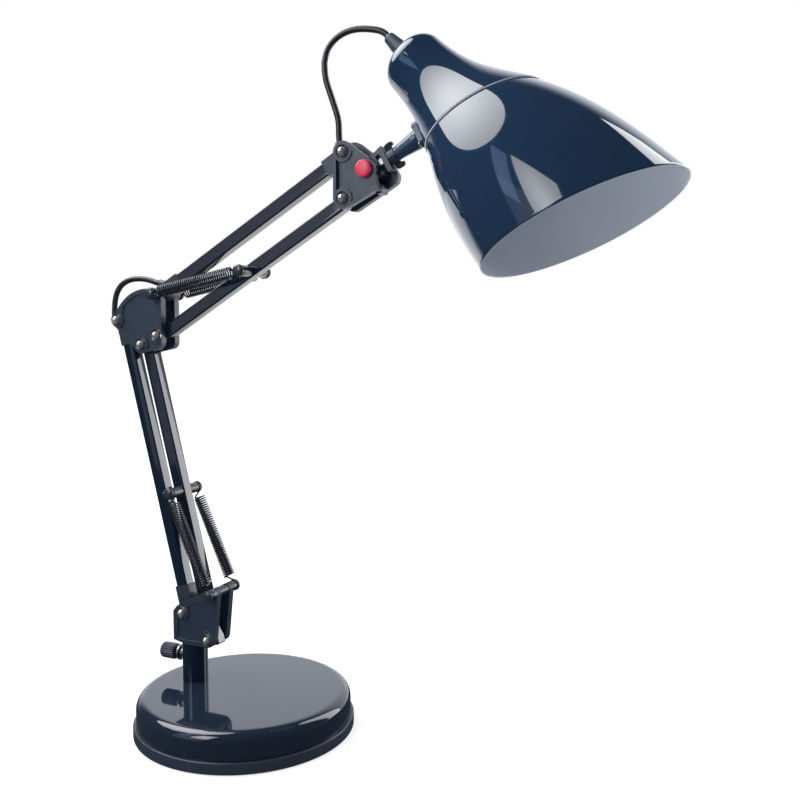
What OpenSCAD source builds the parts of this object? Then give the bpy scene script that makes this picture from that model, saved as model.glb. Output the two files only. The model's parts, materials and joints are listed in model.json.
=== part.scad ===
// Accordion desk lamp: a weighted round base, two spring-balanced parallelogram
// arms of square tube, and a flared shade on a tilting stem.
// Millimetres, +Z up, origin at the centre of the base's underside. The arms
// swing in the plane y = 0 and reach towards +X, as the lamp stands at rest.

/* [Base] */
// Diameter of the black skirt ring
skirt_d = 170; // [150:1:190]
// Height of the skirt ring's rim above the table
skirt_h = 9.3; // [8:0.1:12]
// Width of the rim that shows round the cover
skirt_lip = 2.4; // [1.6:0.1:4]
// Height of the cover's flat top above the table
base_h = 29.4; // [25:0.1:36]
// Radius of the cover's rolled edge
cover_edge_r = 8; // [4:0.5:10]
// Sheet thickness of the cover
cover_t = 1.2; // [0.8:0.1:2]
// Height of the cast iron ballast
ballast_h = 12; // [8:0.5:14]
// Free gap round the cast iron ballast, inside the skirt ring
ballast_gap = 3; // [2:0.5:8]
// Thickness of the foam foot pad
pad_t = 2; // [1:0.5:4]
// Thickness of the steel bottom plate
bottom_t = 1.5; // [1:0.1:2]

/* [Post] */
// Distance of the post behind the base's centre
post_back = 47; // [35:1:55]
// Outer diameter of the post tube
post_d = 20; // [18:0.5:22]
// Wall of the post tube
post_wall = 1.5; // [1:0.1:2]
// Height of the thumbscrew above the table
clamp_z = 49.2; // [46:0.1:50.5]
// Diameter of the knurled thumbscrew knob
thumb_d = 14.2; // [12:0.2:16]
// Length of the knurled thumbscrew knob
thumb_len = 13.8; // [10:0.2:18]
// Diameter of the thumbscrew's shank
thumb_shank_d = 5; // [4:0.5:5.5]

/* [Arms] */
// Length between pivots of the lower arm
lower_len = 237.3; // [200:0.1:280]
// Lean of the lower arm back from upright, in degrees
lower_lean = 14.1; // [10:0.1:18]
// Length between pivots of the upper arm
upper_len = 190; // [160:0.5:230]
// Rise of the upper arm above level, in degrees
upper_rise = 30.5; // [15:0.5:45]
// Side of the square arm tube
bar_side = 10; // [9:0.1:10.4]
// Wall of the square arm tube
bar_wall = 1; // [0.8:0.1:1.5]
// Corner radius of the square arm tube
bar_corner_r = 1.2; // [0.8:0.1:2]
// In-plane height of the plastic bar ends
end_side = 12.2; // [11.4:0.1:12.4]
// Distance from the lower arm's lower pivot to its spring pin
lower_pin_at = 118; // [105:0.5:130]
// Distance from the upper arm's elbow pivot to its spring pin
upper_pin_at = 94.3; // [85:0.1:105]
// Length of a plastic bar end from its pivot to the tube
end_len = 20; // [16:0.5:26]

/* [Brackets and pivots] */
// Half width over a bracket's two plates
plate_out = 11.2; // [10.8:0.1:13]
// Half of the gap between a bracket's two plates
plate_in = 5.5; // [5.4:0.1:6]
// Depth of the recess in a plate's outer face
recess_d = 1; // [0.5:0.1:1.6]
// Diameter of the pivot rivets
rivet_d = 5; // [4:0.1:5.4]
// Diameter of a rivet's domed head
dome_d = 7.6; // [6.5:0.1:8.4]
// Height of a rivet's domed head
dome_h = 3.2; // [2:0.1:4]
// Diameter of the washer under a rivet head
washer_d = 9.4; // [8.6:0.1:9.8]
// Thickness of the washer under a rivet head
washer_t = 1; // [0.6:0.1:1.4]
// Height of the elbow's spring pin above the upper arm's lower pivot
elbow_rise = 32; // [28:0.5:36]

/* [Springs] */
// Outer diameter of the springs
spring_d = 9.5; // [8:0.1:9.8]
// Wire diameter of the springs
wire_d = 1.3; // [1:0.1:1.5]
// Curls in each spring
curls = 20; // [12:1:22]
// Distance from a spring pin's centre to the spring's first curl
hook_len = 8.4; // [8:0.1:10]
// Half length of the spring pins over their caps
pin_half = 20.6; // [20:0.1:23]
// Diameter of the spring pins' end caps
cap_d = 9.2; // [8:0.1:10]
// Distance of the springs from the arm's centre plane
spring_y = 16.3; // [16.2:0.1:17]

/* [Head and stem] */
// Diameter of the red tilt cap
tilt_cap_d = 12.8; // [11:0.1:13]
// Rise of the shade's stem above level, in degrees
stem_rise = 28.5; // [22:0.5:34]
// Distance from the tilt bolt to the shade's wall
stem_reach = 44.9; // [40:0.1:50]
// Angle between the stem and the shade's axis, in degrees
shade_hang = 72.9; // [66:0.1:78]
// Distance from the tilt bolt to the knuckle's end face
knuckle_len = 15.8; // [14:0.1:17]
// Depth of the knuckle across the stem
knuckle_h = 18.6; // [17:0.1:20]
// Turn of the shade about its stem, in degrees
shade_turn = -5; // [-12:0.5:12]
// Diameter of the stem next to the wing nut
stem_d = 9.6; // [8.6:0.1:11]
// Diameter of the stem's foot on the shade
stem_foot_d = 14.2; // [12:0.1:14.2]

/* [Shade] */
// Radius of the neck below its rounded shoulder
neck_r = 21.9; // [21:0.1:23]
// Radius of the shade's body where the mouth is cut
mouth_r = 67; // [60:0.5:72]
// Distance along the shade's axis from the cable gland's tip to the mouth
shade_len = 193.3; // [180:0.1:205]
// Distance along the axis to the middle of the flare
flare_at = 91.4; // [86:0.1:96]
// Slant of the mouth, in degrees
mouth_slant = 20; // [10:0.5:24]
// Distance along the axis to the seam between neck and bowl
seam_at = 92.5; // [88:0.5:100]
// Slant of the seam, in degrees
seam_slant = 17; // [10:0.5:20]
// Radius of the neck's shoulder
shoulder_r = 12; // [10:0.5:13.5]
// Distance along the axis to the neck's flat top
neck_top = 17.2; // [14:0.1:19]
// Sheet thickness of the shade
shade_t = 1; // [0.8:0.1:1.4]
// Distance along the axis to the stem's foot
stem_station = 67.6; // [60:0.1:72]
// Radius of the lampholder's threaded sleeve inside (E27)
thread_r = 13.3; // [13.1:0.05:13.5]

/* [Hidden] */

$fn = 64;
// Radial clearance of a pin that turns in its bore
run = 0.05;
// Gap that keeps two fixed pieces apart
fit = 0.1;
// Free gap between a loose piece and its seat
gap = 0.3;
// Overshoot of a cut past the face it opens
over = 1;

skirt_r = skirt_d/2;
cover_r = skirt_r - skirt_lip - fit;
ring_in_r = skirt_r - 9;
ballast_r = ring_in_r - ballast_gap;
screw_circle_r = ballast_r - 17;
pad_top = pad_t;
plate_top = pad_top + bottom_t;
ledge_z = plate_top + 1.6;
ballast_top = plate_top + ballast_h;
post_x = -post_back;
post_r = post_d/2;
post_bore_r = post_r - post_wall;
rivet_r = rivet_d/2;
bar_half = bar_side/2;
head_face = plate_out + washer_t;

// Pivots in the arm plane as [x, z]: A and B on the lower bracket, A2, B2, C and
// D on the elbow bracket, H1 and H2 on the head bracket, K the tilt bolt.
lower_way = [-sin(lower_lean), cos(lower_lean)];
upper_way = [cos(upper_rise), sin(upper_rise)];
A = [-50.5, 86.4];
B = A + [23.5, -19];
P = B + [6.2, 37.3];
A2 = A + lower_len*lower_way;
B2 = B + lower_len*lower_way;
Q = B + lower_pin_at*lower_way;
C = B2 + [15.2, 7.1];
D = C + [0, elbow_rise];
H2 = C + upper_len*upper_way;
H1 = D + upper_len*upper_way;
S = C + upper_pin_at*upper_way;
K = H2 + [17.4, 19];

post_top_z = B[1] - 6.3 - fit - 0.4;
pin_groove_r = 2.5;
pin_collar_r = 4.2;
groove_half = wire_d/2 + 0.5;

// ---------------------------------------------------------------- helpers

function arc(c, r, from, to, n = 8) =
    [for (i = [0:n]) c + r*[cos(from + (to - from)*i/n), sin(from + (to - from)*i/n)]];

function rounded_rect(w, h, r, n = 3) = concat(
    arc([w/2 - r, h/2 - r], r, 0, 90, n),
    arc([-w/2 + r, h/2 - r], r, 90, 180, n),
    arc([-w/2 + r, -h/2 + r], r, 180, 270, n),
    arc([w/2 - r, -h/2 + r], r, 270, 360, n));

function unit(v) = v/norm(v);

module at(p, turn = 0) translate([p[0], 0, p[1]]) rotate([0, -turn, 0]) children();

// Outline in the arm plane, thickened from y0 to y1
module slab(y0, y1) translate([0, y1, 0]) rotate([90, 0, 0]) linear_extrude(y1 - y0) children();

// Round pin or bore along Y
module rod(p, r, y0, y1) translate([p[0], y1, p[1]]) rotate([90, 0, 0]) cylinder(r = r, h = y1 - y0);

// A profile [radius, distance from the centre plane] turned about Y on both sides
module turned_pair(p, profile) {
    for (side = [-1, 1])
        translate([p[0], 0, p[1]]) rotate([-90*side, 0, 0]) rotate_extrude() polygon(profile);
}

// Tube of round section swept along 3-D points; first_n is across the first leg
module sweep(path, r, sides, first_n) {
    count = len(path);
    tangents = [for (i = [0:count - 1])
        unit(path[min(i + 1, count - 1)] - path[max(i - 1, 0)])];
    normals = [for (i = 0, n = unit(first_n - (first_n*tangents[0])*tangents[0]);
        i < count;
        i = i + 1, n = i < count ? unit(n - (n*tangents[i])*tangents[i]) : n) n];
    points = [for (i = [0:count - 1], k = [0:sides - 1])
        let (b = cross(tangents[i], normals[i]), a = 360*k/sides)
        path[i] + r*(cos(a)*normals[i] + sin(a)*b)];
    last = (count - 1)*sides;
    faces = concat(
        [for (k = [1:sides - 2]) [0, k, k + 1]],
        [for (k = [1:sides - 2]) [last, last + k + 1, last + k]],
        [for (i = [0:count - 2], k = [0:sides - 1])
            let (p = i*sides + k, q = i*sides + (k + 1) % sides)
            [p, p + sides, q + sides]],
        [for (i = [0:count - 2], k = [0:sides - 1])
            let (p = i*sides + k, q = i*sides + (k + 1) % sides)
            [p, q + sides, q]]);
    polyhedron(points, faces);
}

// ---------------------------------------------------------------- base

// Foam disc that the lamp stands on
module foot_pad() {
    color("#26282b") cylinder(r = skirt_r - 7, h = pad_top);
}

// Steel disc that closes the base from below
module bottom_plate() {
    color("#8c9096") difference() {
        translate([0, 0, pad_top]) cylinder(r = skirt_r - 6, h = bottom_t);
        base_screw_places() translate([0, 0, pad_top]) base_screw(fit, over);
    }
}

module base_screw_places() {
    for (a = [30, 150, 270]) rotate(a) translate([screw_circle_r, 0, 0]) children();
}

// Countersunk screw, or with a clearance the hole that takes it
module base_screw(clear, past) {
    head_r = 3.9;
    translate([0, 0, -past]) cylinder(r = head_r + clear, h = past);
    cylinder(r1 = head_r + clear, r2 = 2 + clear, h = bottom_t);
    cylinder(r = 2 + clear, h = bottom_t + 6 + past);
}

// Three screws that hold the bottom plate to the ballast, hidden by the foot pad
module base_screws() {
    color("#9a9da2") base_screw_places() translate([0, 0, pad_top]) base_screw(0, 0);
}

// Black plastic ring round the foot; the cover stands on its ledge
module skirt_ring() {
    color("#23272e") rotate_extrude($fn = 128) polygon([
        [skirt_r - 6 + fit, 0.6], [skirt_r - 0.6, 0.6], [skirt_r, 1.2], [skirt_r, skirt_h - 1],
        [skirt_r - 0.6, skirt_h], [cover_r + fit, skirt_h], [cover_r + fit, ledge_z],
        [ring_in_r, ledge_z], [ring_in_r, plate_top], [skirt_r - 6 + fit, plate_top]]);
}

// Cast iron disc that keeps the lamp from tipping
module ballast() {
    color("#3f4145") difference() {
        translate([0, 0, plate_top]) cylinder(r = ballast_r, h = ballast_h, $fn = 128);
        base_screw_places() translate([0, 0, plate_top - over]) cylinder(r = 2 + fit, h = 6 + 2*over);
        translate([post_x, 0, plate_top - over]) cylinder(r = 4 + fit, h = ballast_h + 2*over);
        translate([post_x, 0, plate_top - over]) cylinder(r = 8, h = over + 6);
    }
}

grommet_turn = 150;
grommet_z = skirt_h + 6.4;
grommet_r = 3;

// Painted steel dome over the ballast
module base_cover() {
    top = base_h - cover_edge_r;
    outer = concat([[cover_r, ledge_z]], arc([cover_r - cover_edge_r, top], cover_edge_r, 0, 90, 10));
    inner = concat(arc([cover_r - cover_edge_r, top], cover_edge_r - cover_t, 90, 0, 10),
        [[cover_r - cover_t, ledge_z]]);
    color("#2b3140") difference() {
        rotate_extrude($fn = 128) polygon(concat(outer, [[0, base_h], [0, base_h - cover_t]], inner));
        translate([post_x, 0, base_h - cover_t - over]) cylinder(r = post_r + fit, h = cover_t + 2*over);
        rotate(grommet_turn) translate([cover_r - 6, 0, grommet_z]) rotate([0, 90, 0])
            cylinder(r = grommet_r + 1.3, h = 6 + over);
    }
}

// Rubber bush in the hole at the back where the mains cord enters
module cable_grommet() {
    wall = grommet_r + 1.3 - fit;
    color("#1a1b1d") rotate(grommet_turn) translate([cover_r, 0, grommet_z]) rotate([0, 90, 0])
        rotate_extrude() polygon([
            [grommet_r, -cover_t - 2.2], [wall + 1.6, -cover_t - 2.2], [wall + 1.6, -cover_t - gap],
            [wall, -cover_t - gap], [wall, gap], [wall + 1.6, gap], [wall + 1, 2], [grommet_r, 2]]);
}

// ---------------------------------------------------------------- post

// Upright steel tube on the ballast
module post_tube() {
    color("#1f2430") difference() {
        translate([post_x, 0, ballast_top]) cylinder(r = post_r, h = post_top_z - ballast_top);
        translate([post_x, 0, ballast_top - over])
            cylinder(r = post_bore_r, h = post_top_z - ballast_top + 2*over);
        translate([post_x - post_r - over, 0, clamp_z]) rotate([0, 90, 0])
            cylinder(d = thumb_shank_d + 2*run, h = post_wall + 3);
    }
}

boss_face_x = post_x - post_r - 4.4;

// Threaded boss with its lock nut where the thumbscrew enters the post
module clamp_boss() {
    color("#30343a") difference() {
        translate([boss_face_x, 0, clamp_z]) rotate([0, 90, 0]) {
            cylinder(r = 6.2, h = 1.2);
            cylinder(r = 3.8, h = 4.4 + 2);
        }
        translate([post_x, 0, clamp_z - 10]) cylinder(r = post_r, h = 20);
        translate([boss_face_x - over, 0, clamp_z]) rotate([0, 90, 0])
            cylinder(d = thumb_shank_d + 2*run, h = 10);
    }
}

// Threaded plug pressed into the foot of the post
module post_bush() {
    color("#a9acb0") difference() {
        translate([post_x, 0, ballast_top]) cylinder(r = post_bore_r - run, h = 14);
        translate([post_x, 0, ballast_top - over]) cylinder(r = 4 + run, h = 14 + 2*over);
    }
}

// Hexagon bolt that pulls the post down on the ballast
module post_bolt() {
    color("#b4b7bb") translate([post_x, 0, 0]) {
        translate([0, 0, plate_top + 0.7]) cylinder(r = 7.4, h = 5.3, $fn = 6);
        translate([0, 0, plate_top + 5]) cylinder(r = 4, h = ballast_h - 5 + 11);
    }
}

thumb_face_x = boss_face_x - 3.1;
spigot_groove_r = 6.4;

// Knurled plastic knob of the thumbscrew
module thumb_knob() {
    ribs = 22;
    color("#2a2e35") translate([thumb_face_x, 0, clamp_z]) rotate([0, -90, 0]) intersection() {
        linear_extrude(thumb_len) polygon([for (i = [0:2*ribs - 1])
            (thumb_d/2 - (i % 2)*0.7)*[cos(180*i/ribs), sin(180*i/ribs)]]);
        rotate_extrude() polygon([[0, 0], [thumb_d/2 - 0.8, 0], [thumb_d/2 + 0.1, 1.2],
            [thumb_d/2 + 0.1, thumb_len - 1.6], [thumb_d/2 - 1.5, thumb_len], [0, thumb_len]]);
    }
}

// Steel shank of the thumbscrew, from its knob to the spigot's groove
module thumb_screw() {
    reach = post_x - spigot_groove_r - gap - thumb_face_x;
    color("#b9bcc0") translate([thumb_face_x, 0, clamp_z]) rotate([0, 90, 0]) {
        cylinder(d = thumb_shank_d, h = reach);
    }
}

// ---------------------------------------------------------------- lower bracket

block_low = post_top_z + 0.4;
peg_r = plate_in - 0.9;
peg_bore_r = peg_r - 1.4;
peg_len = 14.6;

// Turned steel pin that lets the arm swivel in the post
module swivel_spigot() {
    low = clamp_z - 9;
    color("#a4a8ad") translate([post_x, 0, 0]) rotate_extrude() polygon([
        [peg_bore_r, low], [post_bore_r - run - 1, low], [post_bore_r - run, low + 1],
        [post_bore_r - run, clamp_z - 3.4], [spigot_groove_r, clamp_z - 3],
        [spigot_groove_r, clamp_z + 3], [post_bore_r - run, clamp_z + 3.4],
        [post_bore_r - run, block_low], [peg_r, block_low],
        [peg_r, block_low + peg_len], [peg_bore_r, block_low + peg_len]]);
}

// Moulded block between the lower plates that takes the spigot
module lower_block() {
    back = post_x - 11.5;
    front = post_x + 7.4;
    high = A[1] - end_side/2 - 0.9;
    color("#2c3038") difference() {
        slab(-plate_in, plate_in) polygon([[back + 3, block_low], [front + 5, block_low],
            [front, high], [back, high], [back, block_low + 3]]);
        translate([post_x, 0, block_low - over]) cylinder(r = peg_r + run, h = peg_len + over);
    }
}

// Outline of the lower plates, from the corner under B round to the back
lower_outline = concat(
    arc(B, 6.3, -90, 0, 6),
    arc(P, pin_collar_r, -20, 130, 8),
    [P + [-20, -5.5], A + [-5.1, 5], A + [-8.8, 0.4], A + [-8.8, -22.8], A + [2.9, -25.3]]);

lower_field = [B + [2.5, 4], P + [-1, -7], P + [-18, -9], A + [4, 4], A + [-4, -4],
    A + [-5.5, -20.5], A + [3, -22], B + [-4, -2.4]];

// Boss that stands in a plate's recess round a pivot
module bosses(places, r) for (p = places) translate(p) circle(r = r, $fn = 32);

module lower_plate() {
    color("#353a44") difference() {
        slab(plate_in, plate_out) polygon(lower_outline);
        slab(plate_out - recess_d, plate_out + over) difference() {
            polygon(lower_field);
            bosses([A, B, P], 6.6);
        }
        rod(A, rivet_r + run, 0, plate_out + over);
        rod(B, rivet_r + run, 0, plate_out + over);
        rod(P, pin_groove_r + run, 0, plate_out + over);
    }
}

module lower_plate_near() mirror([0, 1, 0]) lower_plate();
module lower_plate_far() lower_plate();

// One pivot rivet with a domed head and a washer at each end
module rivet(p) {
    sphere_r = (pow(dome_d/2, 2) + pow(dome_h, 2))/(2*dome_h);
    dome = [for (i = [0:6]) let (r = dome_d/2*(1 - i/6))
        [r, head_face + sqrt(pow(sphere_r, 2) - pow(r, 2)) - (sphere_r - dome_h)]];
    turned_pair(p, concat([[0, 0], [rivet_r, 0], [rivet_r, plate_out], [washer_d/2, plate_out],
        [washer_d/2, head_face]], dome));
}

module lower_rivets() color("#c8bfb8") {
    rivet(A);
    rivet(B);
}

// Spring pin with two domed caps, a groove for each hook and collars inside them
module spring_pin(p, body_half, middle_r) {
    groove_in = spring_y - groove_half;
    groove_out = spring_y + groove_half;
    cap_r = cap_d/2;
    turned_pair(p, concat(
        [[0, 0], [middle_r, 0], [middle_r, body_half], [pin_collar_r, body_half],
            [pin_collar_r, groove_in], [pin_groove_r, groove_in], [pin_groove_r, groove_out],
            [cap_r, groove_out]],
        [for (i = [0:5]) [cap_r*cos(18*i), groove_out + 1.2 + (pin_half - groove_out - 1.2)*sin(18*i)]]));
}

module lower_spring_pin() color("#4b4f55") {
    spring_pin(P, plate_out, pin_groove_r);
    difference() {
        rod(P, 3.6, -plate_in, plate_in);
        rod(P, pin_groove_r - 0.2, -plate_in - over, plate_in + over);
    }
}

// ---------------------------------------------------------------- arm bars

// Square tube from x0 to x1 along its own axis, with round cross holes at the given places
module bar_tube(x0, x1, holes) difference() {
    translate([x0, 0, 0]) rotate([0, 90, 0]) linear_extrude(x1 - x0) difference() {
        polygon(rounded_rect(bar_side, bar_side, bar_corner_r));
        polygon(rounded_rect(bar_side - 2*bar_wall, bar_side - 2*bar_wall, 0.4, 1));
    }
    for (x = holes) rod([x, 0], rivet_r + run, -bar_half - over, bar_half + over);
}

tip = 6.2;
plug_half = bar_half - bar_wall - run;

// Square peg along x that fits the tube's inside
module plug(x, length) translate([x, 0, 0]) rotate([0, 90, 0]) linear_extrude(length)
    polygon(rounded_rect(2*plug_half, 2*plug_half, 0.6, 1));

// Plastic plug that fills a tube's end from the tip past its pivot
module bar_plug() difference() {
    union() {
        plug(-tip, 2*tip);
        translate([-tip, 0, 0]) rotate([0, 90, 0]) linear_extrude(over)
            polygon(rounded_rect(bar_side, bar_side, bar_corner_r));
    }
    rod([0, 0], rivet_r + run, -bar_half - over, bar_half + over);
}

// Plastic end of a cord-carrying bar: a head round the pivot, a spigot in the tube and,
// where spout is given, the short outlet of the cord at that angle
module bar_end(spout = undef) difference() {
    union() {
        slab(-plate_in + gap, plate_in - gap) polygon(concat(
            arc([0, 0], end_side/2, 90, 270, 10),
            [[end_len, -end_side/2], [end_len, end_side/2]]));
        plug(end_len - over, over + 14);
        if (!is_undef(spout)) at(spout_root, spout) rotate([0, 90, 0]) cylinder(r = spout_r, h = spout_len);
    }
    rod([0, 0], rivet_r + run, -plate_in - over, plate_in + over);
    if (!is_undef(spout)) at(spout_root, spout) rotate([0, 90, 0])
        translate([0, 0, spout_len - 3]) cylinder(r = cord_r - 0.6, h = 3 + over);
}

cord_r = 2.25;
spout_r = 3.2;
spout_root = [6, 4.2];
spout_len = 7.8;
elbow_low_spout = 150;
elbow_top_spout = 136;
head_spout = 116;

// Mouth of a spout and its direction, on a bar with its pivot at p; side is 1 or -1
function spout_way(bar_turn, side, spout) =
    [cos(bar_turn + side*spout), sin(bar_turn + side*spout)];
function spout_mouth(p, bar_turn, side, spout) =
    p + spout_root[0]*[cos(bar_turn), sin(bar_turn)]
    + side*spout_root[1]*[-sin(bar_turn), cos(bar_turn)]
    + spout_len*spout_way(bar_turn, side, spout);

lower_turn = 90 + lower_lean;
upper_turn = upper_rise;

module front_bar() color("#16202e")
    at(B, lower_turn) bar_tube(-tip + over, lower_len + tip - over, [0, lower_pin_at, lower_len]);

module front_bar_plugs() color("#202225") {
    at(B, lower_turn) bar_plug();
    at(B2, lower_turn + 180) bar_plug();
}

module arm_spring_pin() color("#4b4f55") spring_pin(Q, bar_half, pin_groove_r);

module rear_bar() color("#16202e")
    at(A, lower_turn) bar_tube(end_len, lower_len - end_len, []);

module rear_bar_ends() color("#202225") {
    at(A, lower_turn) bar_end();
    at(A2, lower_turn + 180) mirror([0, 0, 1]) bar_end(elbow_low_spout);
}

module bottom_bar() color("#16202e")
    at(C, upper_turn) bar_tube(-tip + over, upper_len + tip - over, [0, upper_pin_at, upper_len]);

module bottom_bar_plugs() color("#202225") {
    at(C, upper_turn) bar_plug();
    at(H2, upper_turn + 180) bar_plug();
}

module upper_spring_pin() color("#4b4f55") spring_pin(S, bar_half, pin_groove_r);

module top_bar() color("#16202e")
    at(D, upper_turn) bar_tube(end_len, upper_len - end_len, []);

module top_bar_ends() color("#202225") {
    at(D, upper_turn) bar_end(elbow_top_spout);
    at(H1, upper_turn + 180) mirror([0, 0, 1]) bar_end(head_spout);
}

// ---------------------------------------------------------------- elbow bracket

// Fan-shaped outline: a lobe round each pivot and one large arc over the top
fan_c = D + [-8.4, -31.2];
fan_r = 35.4;
spacer_at = fan_c + [-2, 8];
elbow_outline = concat(
    arc(C + [-1.5, -5.2], 6.3, -75, 0, 5),
    arc(D, 4.9, 0, 55, 4),
    arc(fan_c, fan_r, 72, 146, 14),
    arc(A2, 5.8, 140, 250, 6),
    arc(B2, 7.5, 200, 300, 6));

elbow_field = concat(
    [C + [2.2, -7], D + [2.2, -8]],
    arc(fan_c, fan_r - 3.5, 66, 138, 10),
    [A2 + [3, -6], B2 + [-3, 2], B2 + [3, -4.4]]);

module elbow_plate() {
    color("#353c48") difference() {
        slab(plate_in, plate_out) polygon(elbow_outline);
        slab(plate_out - recess_d, plate_out + over) difference() {
            polygon(elbow_field);
            bosses([A2, B2, C, D], 6.6);
        }
        for (p = [A2, B2, C]) rod(p, rivet_r + run, 0, plate_out + over);
        rod(D, pin_groove_r + run, 0, plate_out + over);
        rod(spacer_at, 3 + run, 0, plate_out - recess_d - 1.4);
    }
}

module elbow_plate_near() mirror([0, 1, 0]) elbow_plate();
module elbow_plate_far() elbow_plate();

module elbow_rivets() color("#c8bfb8") {
    rivet(A2);
    rivet(B2);
    rivet(C);
}

module elbow_spring_pin() color("#4b4f55") spring_pin(D, plate_out, rivet_r);

// Stepped spacer that holds the elbow plates apart
module elbow_spacer() color("#8f9298")
    turned_pair(spacer_at, [[0, 0], [4.4, 0], [4.4, plate_in], [3, plate_in],
        [3, plate_out - recess_d - 1.6], [0, plate_out - recess_d - 1.6]]);

// ---------------------------------------------------------------- head bracket

pad_way = [cos(-37.4), sin(-37.4)];
nose_top = K + [6.9, 3.2];

head_near_outline = concat(
    arc(H2, 7.5, 180, 300, 8),
    [K + [7.4, -15.4], K + [11.4, -15]],
    arc(K + [24, -4.5], 16.4, 217, 155, 6),
    arc(H1, 7.4, 65, 180, 8));

head_far_outline = concat(
    arc(H2, 7.5, 180, 300, 8),
    arc(K + [11.2, -4.4], 6.4, -60, 75, 8),
    arc(H1 + [0.5, 0.6], 8.4, 58, 180, 8));

head_field = [H2 + [-4, 0], H2 + [4, -4], K + [5.2, -14.1], K + [-5.5, -3.4], K + [-8.5, 12],
    H1 + [3, 4], H1 + [-4, 0]];

module head_plate(outline) {
    color("#5a6070") difference() {
        slab(plate_in, plate_out) polygon(outline);
        slab(plate_out - recess_d, plate_out + over) difference() {
            polygon(head_field);
            bosses([H1, H2], 7.2);
        }
        slab(plate_out - 3*recess_d, plate_out) difference() {
            polygon([H2 + [-5, 4], H2 + [-1, 4], H1 + [-1, -4], H1 + [-5, -4]]);
            bosses([H1, H2], 7.2);
        }
        for (p = [H1, H2]) rod(p, rivet_r + run, 0, plate_out + over);
        rod(K, rivet_r + run, 0, plate_out + over);
    }
}

module head_plate_near() mirror([0, 1, 0]) head_plate(head_near_outline);
module head_plate_far() head_plate(head_far_outline);

module head_rivets() color("#c8bfb8") {
    rivet(H1);
    rivet(H2);
}

tongue_r = knuckle_h/2 - 1.3;
saddle_r = tongue_r + gap + 0.2;

// Curved block that closes the lower front between the head plates
module head_block() color("#2c3038") slab(-plate_in, plate_in) polygon(concat(
    arc(K, saddle_r, -105, -88, 4),
    [K + [8.8, -9.8], K + [10.2, -12.2], K + [10.4, -14.6], K + [9.2, -16.5], K + [6.8, -16.8],
        K + [2, -15.4]]));

// Bolt through the head plates and the knuckle
module tilt_bolt() color("#b4b7bb") {
    rod(K, rivet_r, -plate_out - 2.4, plate_out + 6);
    rod(K, 4.4, -plate_out - 2.4, -plate_out);
}

// Red domed cap over the tilt bolt's head
module tilt_cap() {
    cap_r = tilt_cap_d/2;
    dome = [for (i = [0:8]) [cap_r*cos(11.25*i), 2.8 + 1.6*sin(11.25*i)]];
    color("#d3576f") translate([K[0], -plate_out, K[1]]) rotate([90, 0, 0]) rotate_extrude()
        polygon(concat([[4.4 + fit, 0], [cap_r - 0.4, 0], [cap_r, 0.5]], dome,
            [[0, 2.4 + fit], [4.4 + fit, 2.4 + fit]]));
}

// Hexagon lock nut on the far end of the tilt bolt
module tilt_nut() color("#b4b7bb") difference() {
    translate([K[0], plate_out + 4.5, K[1]]) rotate([90, 0, 0]) cylinder(r = 4.8, h = 4.5, $fn = 6);
    rod(K, rivet_r + run, plate_out - over, plate_out + 4.5 + over);
}

// ---------------------------------------------------------------- knuckle and stem

stud_r = 3.2;
nut_slot_x = 8.6;
nut_slot = 3.4;

module on_stem() at(K, stem_rise) children();

// Tongue between the head plates, ending in the face that the stem's nut pulls on
module knuckle() color("#3a404b") on_stem() difference() {
    slab(-plate_in + gap, plate_in - gap) polygon(concat(
        arc([0, 0], tongue_r, 90, 270, 12),
        arc([knuckle_len - 2.6, -knuckle_h/2 + 2.6], 2.6, 225, 270, 3),
        [[knuckle_len, -knuckle_h/2], [knuckle_len, knuckle_h/2]],
        arc([knuckle_len - 2.6, knuckle_h/2 - 2.6], 2.6, 90, 135, 3)));
    rod([0, 0], rivet_r + run, -plate_in - over, plate_in + over);
    translate([nut_slot_x, -plate_in - over, -knuckle_h]) cube([nut_slot, 2*plate_in + 2*over, knuckle_h + 5.2]);
    translate([nut_slot_x - 2.3, 0, 0]) rotate([0, 90, 0]) cylinder(r = stud_r + run, h = knuckle_len);
}

nut_len = 5.4;
nut_x = knuckle_len + 0.4;

// Wing nut that locks the stem's turn
module wing_nut() color("#5b616c") on_stem() translate([nut_x, 0, 0]) rotate([22, 0, 0]) difference() {
    union() {
        rotate([0, 90, 0]) cylinder(r1 = 5.4, r2 = 5.2, h = nut_len);
        for (turn = [0, 180]) rotate([turn, 0, 0]) slab(-1.1, 1.1) polygon([
            [nut_len - 0.4, 4.6], [0.2, 4.6], [0.2, 7.2], [0.8, 8.8], [2.2, 9.6], [5.4, 9.7],
            [6.8, 9.1], [7.5, 7.9], [7.2, 6.5], [nut_len, 6]]);
    }
    translate([-over, 0, 0]) rotate([0, 90, 0]) cylinder(r = stud_r + run, h = nut_len + 2*over);
}

module on_shade_stem() on_stem() rotate([shade_turn, 0, 0]) children();

stem_x = nut_x + nut_len + 0.4;

// Threaded stud that turns in the knuckle, with its lock nut in the knuckle's slot
module stem_bolt() color("#b9bcc0") on_shade_stem() rotate([0, 90, 0]) {
    translate([0, 0, nut_slot_x - 2]) cylinder(r = stud_r, h = stem_x + 3 - nut_slot_x + 2);
    translate([0, 0, nut_slot_x + 0.2]) cylinder(r = 4.7, h = nut_slot - 0.4, $fn = 6);
}

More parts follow.
